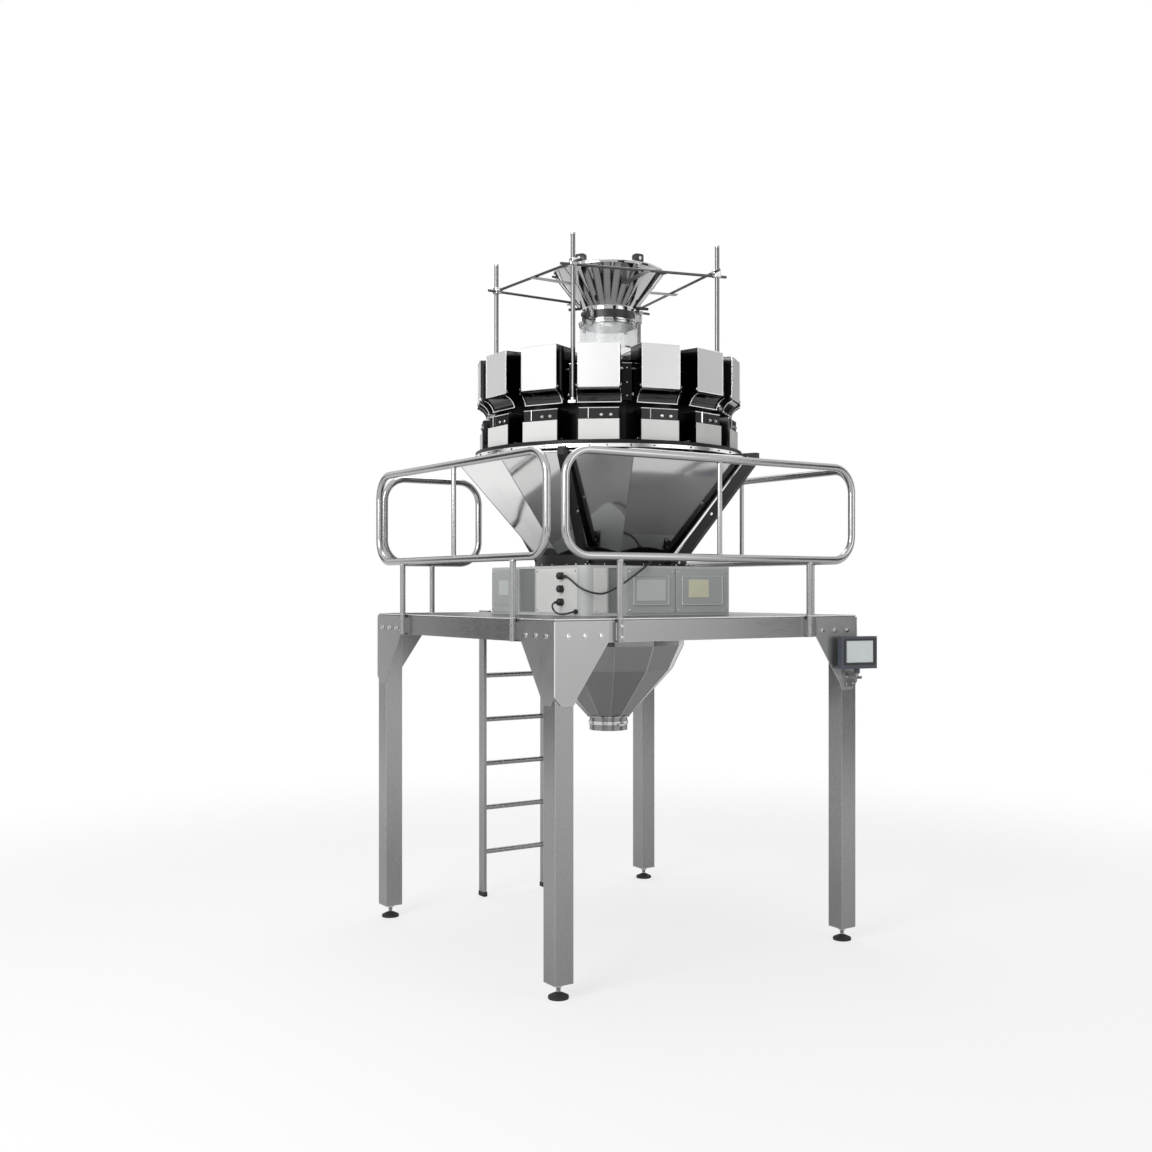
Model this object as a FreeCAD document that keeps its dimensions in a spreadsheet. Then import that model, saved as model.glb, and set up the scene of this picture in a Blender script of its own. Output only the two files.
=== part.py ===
import FreeCAD, Part
import math
import os
import Sketcher
from FreeCAD import Placement, Rotation, Vector

# Fourteen-head weigher on its working platform. Millimetres, +Z up, +X and +Y along the platform's
# sides, origin on the floor under the weigher's vertical axis, which is the platform's centre too.
# Head 0 faces +X. Heads follow each other anticlockwise, and gap k lies between heads k and k + 1.

DIMENSIONS = (
    ("deck_side", 1900, "platform, over its edge beams"),
    ("deck_top", 1740, "top of the deck plate"),
    ("deck_plate", 12, "deck plate thickness"),
    ("deck_hole_radius", 440, "opening in the deck under the weigher"),
    ("beam_depth", 100, "edge beam, height of the channel"),
    ("beam_flange", 50, "edge beam and joist, width of the channel"),
    ("channel_wall", 5, "edge beam and joist, sheet"),
    ("joist_from_axis", 480, "joists round the deck opening, web from the axis"),
    ("leg_side", 100, "square leg tube"),
    ("leg_wall", 4, "leg tube wall"),
    ("leg_bottom", 70, "underside of a leg"),
    ("foot_radius", 48, "rubber dish of a levelling foot"),
    ("foot_dish", 12, "rubber dish height"),
    ("stud_radius", 10, "levelling stud"),
    ("gusset_wing", 290, "corner gusset, width of a wing"),
    ("gusset_drop", 385, "corner gusset, height below the deck plate"),
    ("gusset_sheet", 6, "corner gusset plate"),
    ("gusset_tip", 120, "corner gusset, width of the rounded lower end"),
    ("rail_plane", 966, "guard rail tubes, centre plane from the axis"),
    ("rail_tube_radius", 19, "guard rail tube"),
    ("rail_low", 290, "lower rail centre above the deck"),
    ("rail_high", 778, "upper rail centre above the deck"),
    ("rail_bend", 130, "guard rail corner bend"),
    ("rail_half", 905, "guard rail loop, half length over tube centres"),
    ("baluster_radius", 12.5, "upright inside a guard rail loop"),
    ("rail_post_radius", 15, "guard rail post"),
    ("rail_post_from_mid", 600, "guard rail post from the middle of its side"),
    ("rail_foot_width", 46, "pad of a guard rail post on the edge beam"),
    ("gate_gap_half", 288, "half of the entry at the ladder"),
    ("ladder_width", 460, "ladder over its stiles"),
    ("ladder_plane", 1035, "ladder stiles, centre plane from the axis"),
    ("ladder_over", 8, "ladder stiles, above the deck"),
    ("ladder_hook", 92, "ladder stiles, end of their fixing on the edge beam, below the deck"),
    ("stile_width", 60, "ladder stile, along its depth"),
    ("stile_sheet", 20, "ladder stile thickness"),
    ("rung_pitch", 270, "ladder rung pitch"),
    ("rung_radius", 15, "ladder rung"),
    ("cabinet_side", 970, "weigher base cabinet, square"),
    ("cabinet_top", 1998, "top of the base cabinet"),
    ("cabinet_hole_radius", 386, "product opening through the cabinet"),
    ("cabinet_corner", 45, "rounded upright corners of the cabinet"),
    ("recess_depth", 8, "recessed bands in the cabinet faces"),
    ("band_margin", 12, "recessed bands, from the deck and from the cabinet top"),
    ("front_band_from", 335, "band in the front face, far edge from the middle"),
    ("front_band_to", 250, "band in the front face, near edge from the middle"),
    ("left_band_front", 12, "band in the left face, in front of the middle"),
    ("left_band_back", 155, "band in the left face, behind the middle"),
    ("cover_proud", 7, "cover box in front of the cabinet face"),
    ("field_proud", 4, "raised field of a cover, in front of the cover"),
    ("field_margin", 42, "raised field of a cover, from its edges"),
    ("gland_radius", 19, "cable gland nut"),
    ("gland_out", 30, "cable gland, out of its panel"),
    ("elbow_radius", 11, "elbow of the upper gland"),
    ("gland_from_mid", 285, "cable glands, from the middle of their panel"),
    ("collar_radius", 400, "black collar, outside"),
    ("collar_wall", 16, "collar wall"),
    ("collar_flange", 9, "collar flange, outside the wall and its thickness"),
    ("collar_ledge", 8, "ledge of the collar under the cone"),
    ("cone_sides", 7, "flat sides of the collecting cone"),
    ("cone_bottom", 2060, "collecting cone, lower edge"),
    ("cone_top", 2567, "collecting cone, upper edge"),
    ("cone_bottom_radius", 396, "collecting cone, corner radius below"),
    ("cone_top_radius", 830, "collecting cone, corner radius above"),
    ("cone_sheet", 4, "collecting cone sheet"),
    ("arm_width", 36, "support arm, across"),
    ("arm_depth", 45, "support arm, radially"),
    ("arm_foot", 60, "support arm, length of its foot on the cabinet"),
    ("funnel_sides", 12, "flat sides of the discharge funnel"),
    ("funnel_top_radius", 430, "discharge funnel, corner radius at the deck"),
    ("funnel_shoulder_radius", 422, "discharge funnel, corner radius at its shoulder"),
    ("funnel_waist_radius", 358, "discharge funnel, corner radius at its waist"),
    ("funnel_shoulder", 1575, "discharge funnel, end of the upright part"),
    ("funnel_waist", 1440, "discharge funnel, end of the gentle taper"),
    ("spout_top", 1180, "discharge funnel, lower end"),
    ("spout_bottom", 1100, "end of the spout"),
    ("spout_radius", 105, "spout, outside"),
    ("funnel_sheet", 4, "discharge funnel sheet"),
    ("heads", 14, "weighing heads"),
    ("ring_bottom", 2586, "ring frame, underside"),
    ("ring_top", 2624, "ring frame, top of the outer rim"),
    ("ring_radius", 735, "ring frame, outside"),
    ("ring_inner_radius", 700, "ring frame, inside of the outer rim"),
    ("spoke_width", 30, "ring frame spoke"),
    ("plate_thick", 14, "ring frame hub and spokes, bracket plates"),
    ("drum_radius", 552, "drive drum, distance of its flat sides"),
    ("drum_bottom", 2600, "drive drum, underside"),
    ("drum_top", 3040, "drive drum, top"),
    ("hopper_width", 208, "feed hopper, across"),
    ("hopper_back", 566, "feed hopper, back wall"),
    ("hopper_face", 716, "feed hopper, front face"),
    ("hopper_top", 3112, "feed hopper, top edge"),
    ("hopper_knee", 2952, "feed hopper, start of the sloping back wall"),
    ("hopper_mouth", 2832, "feed hopper, lowest edge"),
    ("hopper_mouth_radial", 649, "feed hopper, foot of the sloping back wall"),
    ("hopper_sheet", 3, "hopper sheet"),
    ("pan_slot_width", 164, "notch for the feeder pan in the back wall"),
    ("pan_slot_floor", 3060, "lower edge of that notch"),
    ("pivot_radial", 712, "feed gate pivot, from the axis"),
    ("pivot_height", 2900, "feed gate pivot, height"),
    ("pivot_pin_radius", 4, "feed gate pivot pin"),
    ("pivot_play", 0.1, "clearance round the pin, on the radius"),
    ("gate_play", 5, "feed gate, clearance of hopper and gate"),
    ("gate_sheet", 2.5, "feed gate sheet"),
    ("gate_boss_radius", 9, "feed gate, eye round the pin"),
    ("gate_centre_radial", 744, "feed gate, centre of its curve, from the axis"),
    ("gate_centre_height", 2803, "feed gate, centre of its curve, height"),
    ("gate_curve_radius", 85.5, "feed gate, inner face of its curved plate"),
    ("gate_edge_angle", 111.5, "feed gate, upper edge on its curve, degrees"),
    ("gate_lip_angle", 167.5, "feed gate, lip on its curve, degrees"),
    ("gate_lip_reach", 9, "feed gate, turned-out lip"),
    ("weigh_back", 585, "weigh hopper, back wall"),
    ("weigh_face", 698, "weigh hopper, front wall"),
    ("weigh_top", 2788, "weigh hopper, top edge"),
    ("weigh_shoulder", 2685, "weigh hopper, start of its sloping floor"),
    ("weigh_floor", 2612, "weigh hopper, underside"),
    ("weigh_width", 200, "weigh hopper, across"),
    ("panel_width", 214, "weigh hopper front panel, across"),
    ("panel_bottom", 2626, "weigh hopper front panel, lower edge"),
    ("panel_top", 2734, "weigh hopper front panel, upper edge"),
    ("panel_proud", 7, "weigh hopper front panel, in front of the wall"),
    ("drive_face", 610, "drive module, front face from the axis"),
    ("drive_bottom", 2840, "drive module, underside"),
    ("drive_top", 3027, "drive module, top"),
    ("bracket_width", 110, "hopper bracket, across"),
    ("bracket_low", 2970, "feed hopper bracket, underside"),
    ("load_arm_low", 2700, "load cell arm, underside"),
    ("bracket_height", 60, "feed hopper bracket and load cell arm, height"),
    ("pan_width", 150, "feeder pan, across"),
    ("pan_height", 42, "feeder pan, side height"),
    ("pan_floor", 3066, "feeder pan, underside"),
    ("pan_sheet", 3, "feeder pan sheet"),
    ("pan_inner", 350, "feeder pan, inner end"),
    ("pan_outer", 640, "feeder pan, outer end"),
    ("vibrator_width", 60, "vibrator block under a pan, across"),
    ("vibrator_length", 100, "vibrator block under a pan, radially"),
    ("feeder_base_radius", 322, "round base of the feeder on the drum"),
    ("feeder_base_height", 14, "height of that base"),
    ("cone_disc_radius", 346, "dispersion cone"),
    ("cone_foot_radius", 150, "foot of the dispersion cone"),
    ("tube_radius", 161, "clear infeed tube, outside"),
    ("tube_wall", 5, "clear infeed tube wall"),
    ("tube_bottom", 3195, "clear infeed tube, lower edge"),
    ("tube_top", 3345, "clear infeed tube, upper edge"),
    ("neck_radius", 144, "infeed neck, outside"),
    ("neck_bottom", 3325, "infeed neck, lower edge"),
    ("neck_top", 3426, "infeed neck, upper edge"),
    ("infeed_top", 3620, "infeed funnel, upper edge"),
    ("infeed_top_radius", 294, "infeed funnel, outside of its upper edge"),
    ("infeed_sheet", 4, "infeed neck and funnel sheet"),
    ("post_radius", 12, "support post"),
    ("post_foot", 2838, "support post, lower end"),
    ("post_top", 3695, "support post, upper end"),
    ("rod_radius", 7.5, "cross rod"),
    ("rod_height", 3537, "cross rod, centre height"),
    ("rod_over", 62, "cross rod, past the posts"),
    ("screen_width", 218, "touch screen housing, across"),
    ("screen_height", 170, "touch screen housing, height"),
    ("screen_depth", 46, "touch screen housing, front to back"),
    ("screen_middle", 1543, "touch screen housing, centre height"),
    ("screen_x", 896, "touch screen swivel post, along X"),
    ("screen_y", 1015, "touch screen swivel post, in front of the axis"),
    ("screen_turn", 12, "touch screen, turned from the front face, degrees"),
    ("glass_half", 82, "touch screen glass, half width"),
    ("glass_down", 52, "touch screen glass, below the centre height"),
    ("glass_up", 62, "touch screen glass, above the centre height"),
    ("swivel_pin_radius", 8, "touch screen swivel pin"),
    ("socket_height", 26, "socket of the touch screen on that pin"),
    ("sensor_half", 24, "level sensor box, half width"),
    ("sensor_height", 34, "level sensor box, height"),
    ("rim_height", 12, "rolled rim of the infeed funnel"),
)

# Gap between two heads in which each post stands, and its distance from the axis.
POSTS = ((1, 632), (5, 628), (8, 625), (11, 662))
ARM_GAPS = (1, 4, 8, 11)

# Cover boxes of the cabinet: plane of the face, both ends along it, and whether it faces backwards.
COVERS = (
    ("front_cover_near", "XZ_Plane", -225, 85, False),
    ("front_cover_far", "XZ_Plane", 92, 448, False),
    ("left_cover", "YZ_Plane", 165, 440, True),
    ("right_cover", "YZ_Plane", -430, 430, False),
    ("back_cover", "XZ_Plane", -430, 430, True),
)
GLAND_HEIGHTS = (1945, 1878, 1810)
SIDES = (("front", 0), ("right", 90), ("back", 180), ("left", 270))

doc = FreeCAD.newDocument("multihead_weigher")
sheet = doc.addObject("Spreadsheet::Sheet", "size")
for row, (alias, value, note) in enumerate(DIMENSIONS, start=1):
    sheet.set(f"A{row}", note)
    sheet.set(f"B{row}", str(value))
    sheet.setAlias(f"B{row}", alias)
doc.recompute()

NODES = []


def value(expression):
    """The number that an expression on the sheet gives now."""
    return float(sheet.evalExpression(expression))


HEADS = int(value("size.heads"))
PITCH = 360 / HEADS


# --- ways of making the pieces ------------------------------------------------------------------

def new_body(label, node=True):
    body = doc.addObject("PartDesign::Body", label)
    body.Label = label
    if node:
        NODES.append(body)
    return body


def origin_feature(body, role):
    return next(item for item in body.Origin.OriginFeatures if item.Role == role)


def new_sketch(body, name, plane, offset="0", across="0"):
    """A sketch on one of the body's planes, moved along that plane's normal and along its own X."""
    sketch = body.newObject("Sketcher::SketchObject", name)
    sketch.AttachmentSupport = (origin_feature(body, plane), [""])
    sketch.MapMode = "FlatFace"
    sketch.setExpression("AttachmentOffset.Base.x", across)
    sketch.setExpression("AttachmentOffset.Base.z", offset)
    return sketch


def bind_point(sketch, item, point, name, place):
    """Ties one end of a sketch line or centre to two expressions, measured from the sketch's origin."""
    for kind, axis, expression in zip(("DistanceX", "DistanceY"), "xy", place):
        constraint = Sketcher.Constraint(kind, -1, 1, item, point, value(expression))
        label = f"{name}_{axis}"
        sketch.renameConstraint(sketch.addConstraint(constraint), label)
        sketch.setExpression(f"Constraints.{label}", expression)


def add_outline(sketch, points, prefix="p"):
    """A closed outline of straight sides, with each corner bound to the sheet."""
    first = sketch.GeometryCount
    corners = [Vector(value(x), value(y), 0) for x, y in points]
    count = len(corners)
    for index, corner in enumerate(corners):
        sketch.addGeometry(Part.LineSegment(corner, corners[(index + 1) % count]), False)
    for index in range(count):
        following = first + (index + 1) % count
        sketch.addConstraint(Sketcher.Constraint("Coincident", first + index, 2, following, 1))
    for index, place in enumerate(points):
        bind_point(sketch, first + index, 1, f"{prefix}{index + 1}", place)
    return sketch


def rectangle(x_low, y_low, x_high, y_high):
    return [(x_low, y_low), (x_high, y_low), (x_high, y_high), (x_low, y_high)]


def centred(x_half, y_half):
    return rectangle(f"-({x_half})", f"-({y_half})", x_half, y_half)


def regular_polygon(radius, sides, turn_degrees):
    """Corners of a regular polygon whose first corner lies at the given angle."""
    angles = [f"({turn_degrees} + {index} * 360 / {sides}) * 1 deg" for index in range(sides)]
    return [(f"({radius}) * cos({angle})", f"({radius}) * sin({angle})") for angle in angles]


def bind_radius(sketch, item, name, radius):
    constraint = Sketcher.Constraint("Radius", item, value(radius))
    sketch.renameConstraint(sketch.addConstraint(constraint), f"{name}_radius")
    sketch.setExpression(f"Constraints.{name}_radius", radius)


def add_circle(sketch, place, radius, name="c"):
    centre = Vector(value(place[0]), value(place[1]), 0)
    item = sketch.addGeometry(Part.Circle(centre, Vector(0, 0, 1), value(radius)), False)
    bind_point(sketch, item, 3, name, place)
    bind_radius(sketch, item, name, radius)
    return sketch


def on_curve(centre, radius, degrees):
    """Expressions for the point of a circle at an angle."""
    return (f"{centre[0]} + ({radius}) * cos(({degrees}) * 1 deg)",
            f"{centre[1]} + ({radius}) * sin(({degrees}) * 1 deg)")


def add_band(sketch, centre, inner, outer, start, end):
    """Part of a ring between two angles, given in degrees."""
    start_angle, end_angle = math.radians(value(start)), math.radians(value(end))
    middle = Vector(value(centre[0]), value(centre[1]), 0)
    ends = []
    for name, radius in (("inner", inner), ("outer", outer)):
        circle = Part.Circle(middle, Vector(0, 0, 1), value(radius))
        arc = sketch.addGeometry(Part.ArcOfCircle(circle, start_angle, end_angle), False)
        bind_point(sketch, arc, 3, name, centre)
        bind_radius(sketch, arc, name, radius)
        places = on_curve(centre, radius, start), on_curve(centre, radius, end)
        held = ((1, places[0], "DistanceX", 0), (2, places[1], "DistanceY", 1))
        for point, place, kind, axis in held:
            constraint = Sketcher.Constraint(kind, -1, 1, arc, point, value(place[axis]))
            label = f"{name}_end_{point}"
            sketch.renameConstraint(sketch.addConstraint(constraint), label)
            sketch.setExpression(f"Constraints.{label}", place[axis])
        ends.append((arc, [Vector(*(value(part) for part in place), 0) for place in places]))
    (inner_arc, inner_ends), (outer_arc, outer_ends) = ends
    for point in (1, 2):
        line = sketch.addGeometry(Part.LineSegment(inner_ends[point - 1], outer_ends[point - 1]), False)
        sketch.addConstraint(Sketcher.Constraint("Coincident", line, 1, inner_arc, point))
        sketch.addConstraint(Sketcher.Constraint("Coincident", line, 2, outer_arc, point))
    return sketch


def pad(body, name, sketch, length, midplane=False, back=False):
    feature = body.newObject("PartDesign::Pad", name)
    feature.Profile = sketch
    feature.setExpression("Length", length)
    feature.Midplane = midplane
    feature.Reversed = back
    return feature


def pocket(body, name, sketch, length, midplane=False, back=False):
    feature = body.newObject("PartDesign::Pocket", name)
    feature.Profile = sketch
    feature.setExpression("Length", length)
    feature.Midplane = midplane
    feature.Reversed = back
    return feature


def turn(body, name, sketch, cut=False):
    """A profile in the XZ plane turned about the vertical axis."""
    feature = body.newObject("PartDesign::Groove" if cut else "PartDesign::Revolution", name)
    feature.Profile = sketch
    feature.ReferenceAxis = (origin_feature(body, "Z_Axis"), [""])
    feature.Angle = 360
    return feature


def round_the_axis(body, originals, count, name="round_the_axis"):
    pattern = body.newObject("PartDesign::PolarPattern", name)
    pattern.Originals = originals
    pattern.Axis = (origin_feature(body, "Z_Axis"), [""])
    pattern.Angle = 360
    pattern.setExpression("Occurrences", count)
    body.Tip = pattern
    return pattern


def box_pad(body, name, plane, outline, offset, length, midplane=False, back=False):
    return pad(body, name, add_outline(new_sketch(body, name + "_outline", plane, offset), outline),
               length, midplane, back)


def box_cut(body, name, plane, outline, offset, length, midplane=False, back=False):
    return pocket(body, name, add_outline(new_sketch(body, name + "_outline", plane, offset), outline),
                  length, midplane, back)


def rod(body, name, plane, place, radius, offset, length, midplane=False, back=False):
    return pad(body, name, add_circle(new_sketch(body, name + "_section", plane, offset), place, radius),
               length, midplane, back)


def loft(body, name, sections, cut=False):
    feature = body.newObject("PartDesign::SubtractiveLoft" if cut else "PartDesign::AdditiveLoft", name)
    feature.Profile = sections[0]
    feature.Sections = sections[1:]
    feature.Ruled = True
    return feature


def folded_shell(body, steps, sides, first_corner, thickness):
    """A many-sided shell of sheet through corner radii at given heights, open above and below."""
    for name, inset, cut in (("sheet", "0", False), ("inside", thickness, True)):
        sections = []
        for index, (height, radius) in enumerate(steps, start=1):
            section = new_sketch(body, f"{name}_section_{index}", "XY_Plane", height)
            corners = regular_polygon(f"{radius} - {inset}", sides, first_corner)
            sections.append(add_outline(section, corners))
        doc.recompute()
        loft(body, name, sections, cut)


def group(label, parts):
    """Like pieces that don't touch, kept together in one node."""
    compound = doc.addObject("Part::Compound", label)
    compound.Label = label
    compound.Links = parts
    for part in parts:
        if part in NODES:
            NODES.remove(part)
    NODES.append(compound)
    return compound


def turned(body, degrees):
    body.Placement = Placement(Vector(), Rotation(Vector(0, 0, 1), degrees))
    return body


# --- platform -----------------------------------------------------------------------------------

def platform_legs():
    """Four square tubes, each from its end plate up to the deck plate."""
    body = new_body("platform_legs")
    middle = "(size.deck_side - size.leg_side) / 2"
    outer = rectangle(f"{middle} - size.leg_side / 2", f"{middle} - size.leg_side / 2",
                      f"{middle} + size.leg_side / 2", f"{middle} + size.leg_side / 2")
    inner = rectangle(f"{middle} - size.leg_side / 2 + size.leg_wall",
                      f"{middle} - size.leg_side / 2 + size.leg_wall",
                      f"{middle} + size.leg_side / 2 - size.leg_wall",
                      f"{middle} + size.leg_side / 2 - size.leg_wall")
    tube = box_pad(body, "tube", "XY_Plane", outer, "size.leg_bottom",
                   "size.deck_top - size.deck_plate - size.leg_bottom")
    bore = box_cut(body, "bore", "XY_Plane", inner, "size.leg_bottom + 2 * size.leg_wall",
                   "size.deck_top - size.leg_bottom", back=True)
    round_the_axis(body, [tube, bore], "4")


def levelling_feet():
    """Rubber dish, domed cap, stud and lock nut under each leg."""
    body = new_body("levelling_feet")
    middle = "(size.deck_side - size.leg_side) / 2"
    profile = [
        ("0", "0"), ("size.foot_radius", "0"), ("size.foot_radius", "size.foot_dish"),
        ("size.foot_radius / 2", "size.foot_dish * 2"), ("size.stud_radius", "size.foot_dish * 2.4"),
        ("size.stud_radius", "size.leg_bottom - size.stud_radius * 1.6"),
        ("size.stud_radius * 1.7", "size.leg_bottom - size.stud_radius * 1.6"),
        ("size.stud_radius * 1.7", "size.leg_bottom"), ("0", "size.leg_bottom"),
    ]
    sketch = add_outline(new_sketch(body, "foot_profile", "XZ_Plane", middle, middle), profile)
    foot = body.newObject("PartDesign::Revolution", "foot")
    foot.Profile = sketch
    foot.ReferenceAxis = (sketch, ["V_Axis"])
    foot.Angle = 360
    round_the_axis(body, [foot], "4")


def gusset_plates():
    """One bent plate at each corner: two tapering wings on the outer faces of beams and leg."""
    body = new_body("gusset_plates")
    edge = "size.deck_side / 2"
    top = "size.deck_top - size.deck_plate"
    skirt = "size.deck_top - size.beam_depth - size.deck_plate"
    bottom = "size.deck_top - size.deck_plate - size.gusset_drop"
    tip, slope = f"{edge} - size.gusset_tip", "size.gusset_tip / 3"
    wing = [
        (f"{edge} + size.gusset_sheet", top), (f"{edge} - size.gusset_wing", top),
        (f"{edge} - size.gusset_wing", skirt), (tip, f"{bottom} + {slope}"),
        (f"{tip} + {slope} / 2", bottom), (f"{edge} - size.gusset_tip / 4", bottom),
        (f"{edge} + size.gusset_sheet", f"{bottom} + {slope}"),
    ]
    mirrored = [(f"-({x})", y) for x, y in wing]
    front = box_pad(body, "front_wing", "XZ_Plane", wing, edge, "size.gusset_sheet")
    side = box_pad(body, "side_wing", "YZ_Plane", mirrored, edge, "size.gusset_sheet")
    round_the_axis(body, [front, side], "4")


def edge_beams():
    """Channels between the legs, open towards the inside."""
    body = new_body("edge_beams")
    edge, wall = "size.deck_side / 2", "size.channel_wall"
    top = "size.deck_top - size.deck_plate"
    channel = [
        (f"-{edge}", top), (f"-{edge}", f"{top} - size.beam_depth"),
        (f"-{edge} + size.beam_flange", f"{top} - size.beam_depth"),
        (f"-{edge} + size.beam_flange", f"{top} - size.beam_depth + {wall}"),
        (f"-{edge} + {wall}", f"{top} - size.beam_depth + {wall}"),
        (f"-{edge} + {wall}", f"{top} - {wall}"),
        (f"-{edge} + size.beam_flange", f"{top} - {wall}"), (f"-{edge} + size.beam_flange", top),
    ]
    beam = box_pad(body, "channel", "YZ_Plane", channel, "0", "size.deck_side - 2 * size.leg_side",
                   midplane=True)
    round_the_axis(body, [beam], "4")


def deck_joists():
    """Two through joists and two trimmers, which frame the opening in the deck."""
    body = new_body("deck_joists")
    top, web = "size.deck_top - size.deck_plate", "size.joist_from_axis"
    end = "size.deck_side / 2 - size.beam_flange"
    through = rectangle(web, f"{top} - size.beam_depth", f"{web} + size.beam_flange", top)
    box_pad(body, "right_joist", "XZ_Plane", through, "0", f"2 * ({end})", midplane=True)
    left = rectangle(f"-{web} - size.beam_flange", f"{top} - size.beam_depth", f"-{web}", top)
    box_pad(body, "left_joist", "XZ_Plane", left, "0", f"2 * ({end})", midplane=True)
    for name, low in (("front_trimmer", f"-{web} - size.beam_flange"), ("back_trimmer", web)):
        outline = rectangle(low, f"{top} - size.beam_depth", f"{low} + size.beam_flange", top)
        box_pad(body, name, "YZ_Plane", outline, "0", f"2 * {web}", midplane=True)


def deck_plate():
    body = new_body("deck_plate")
    half = "size.deck_side / 2"
    outline = new_sketch(body, "plate_outline", "XY_Plane", "size.deck_top - size.deck_plate")
    add_outline(outline, centred(half, half))
    add_circle(outline, ("0", "0"), "size.deck_hole_radius", "opening")
    pad(body, "plate", outline, "size.deck_plate")


def rail_loop(body, half_length, x_middle="0"):
    """A closed loop of tube with rounded corners, in the rail plane of the -Y side."""
    low_z, high_z = "size.deck_top + size.rail_low", "size.deck_top + size.rail_high"
    ends = f"{x_middle} - ({half_length})", f"{x_middle} + {half_length}"
    low, high, bend, middle = (value(item) for item in (low_z, high_z, "size.rail_bend", x_middle))
    left, right = (value(item) for item in ends)

    def bend_at(x, z, start):
        circle = Part.Circle(Vector(x, z, 0), Vector(0, 0, 1), bend)
        return Part.ArcOfCircle(circle, math.radians(start), math.radians(start + 90))

    line = new_sketch(body, "loop_line", "XZ_Plane", "size.rail_plane")
    line.addGeometry([
        Part.LineSegment(Vector(middle, low, 0), Vector(right - bend, low, 0)),
        bend_at(right - bend, low + bend, 270),
        Part.LineSegment(Vector(right, low + bend, 0), Vector(right, high - bend, 0)),
        bend_at(right - bend, high - bend, 0),
        Part.LineSegment(Vector(right - bend, high, 0), Vector(left + bend, high, 0)),
        bend_at(left + bend, high - bend, 90),
        Part.LineSegment(Vector(left, high - bend, 0), Vector(left, low + bend, 0)),
        bend_at(left + bend, low + bend, 180),
        Part.LineSegment(Vector(left + bend, low, 0), Vector(middle, low, 0)),
    ], False)
    for item in range(8):
        line.addConstraint(Sketcher.Constraint("Tangent", item, 2, item + 1, 1))
    line.addConstraint(Sketcher.Constraint("Coincident", 8, 2, 0, 1))
    for item in (3, 5, 7):
        line.addConstraint(Sketcher.Constraint("Equal", 1, item))
    for item, kind in ((0, "Horizontal"), (2, "Vertical"), (4, "Horizontal"), (6, "Vertical")):
        line.addConstraint(Sketcher.Constraint(kind, item))
    bind_radius(line, 1, "bend", "size.rail_bend")
    bind_point(line, 0, 1, "start", (x_middle, low_z))
    reaches = ((2, "DistanceX", "right", ends[1]), (6, "DistanceX", "left", ends[0]),
               (4, "DistanceY", "top", high_z))
    for item, kind, name, expression in reaches:
        constraint = Sketcher.Constraint(kind, -1, 1, item, 1, value(expression))
        line.renameConstraint(line.addConstraint(constraint), name)
        line.setExpression(f"Constraints.{name}", expression)
    section = new_sketch(body, "tube_section", "YZ_Plane", x_middle)
    add_circle(section, ("-size.rail_plane", low_z), "size.rail_tube_radius")
    doc.recompute()
    pipe = body.newObject("PartDesign::AdditivePipe", "loop_tube")
    pipe.Profile = section
    pipe.Spine = (line, [])


def rail_post(body, name, x):
    """A post from the lower rail down to its pad on the edge beam."""
    beam_bottom = "size.deck_top - size.deck_plate - size.beam_depth"
    rod(body, name, "XY_Plane", (x, "-size.rail_plane"), "size.rail_post_radius", beam_bottom,
        f"size.deck_top + size.rail_low - ({beam_bottom})")
    pad_outline = rectangle(f"{x} - size.rail_foot_width / 2", "-size.rail_plane",
                            f"{x} + size.rail_foot_width / 2", "-size.deck_side / 2")
    box_pad(body, name + "_pad", "XY_Plane", pad_outline, f"{beam_bottom} + 8", "size.beam_depth - 16")


def guard_rails():
    for side, degrees in SIDES:
        if side == "back":
            continue
        body = new_body(f"guard_rail_{side}")
        rail_loop(body, "size.rail_half")
        rod(body, "baluster", "XY_Plane", ("0", "-size.rail_plane"), "size.baluster_radius",
            "size.deck_top + size.rail_low", "size.rail_high - size.rail_low")
        rail_post(body, "post_near", "-size.rail_post_from_mid")
        rail_post(body, "post_far", "size.rail_post_from_mid")
        turned(body, degrees)
    back = []
    for name, sign in (("left", ""), ("right", "-")):
        body = new_body(f"back_rail_{name}", node=False)
        middle = f"{sign}(size.rail_half + size.gate_gap_half) / 2"
        rail_loop(body, "(size.rail_half - size.gate_gap_half) / 2", middle)
        rail_post(body, "post", f"{sign}size.rail_post_from_mid")
        back.append(turned(body, 180))
    group("guard_rail_back", back)


def access_ladder():
    """Two flat stiles with round rungs, hooked over the deck at the entry in the back rail."""
    body = new_body("access_ladder")
    plane, half, edge = "size.ladder_plane", "size.ladder_width / 2", "size.deck_side / 2"
    top, hook = "size.deck_top + size.ladder_over", "size.deck_top - size.ladder_hook"
    near, far = f"{plane} - size.stile_width / 2", f"{plane} + size.stile_width / 2"
    stile = [(edge, top), (edge, hook), (near, hook), (near, "0"), (far, "0"), (far, top)]
    for name, offset in (("right_stile", f"{half} - size.stile_sheet"), ("left_stile", f"-{half}")):
        box_pad(body, name, "YZ_Plane", stile, offset, "size.stile_sheet")
    for index in range(6):
        rod(body, f"rung_{index + 1}", "YZ_Plane", (plane, f"{index + 1} * size.rung_pitch"),
            "size.rung_radius", "0", "size.ladder_width - size.stile_sheet", midplane=True)


# --- weigher base -------------------------------------------------------------------------------

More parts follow.
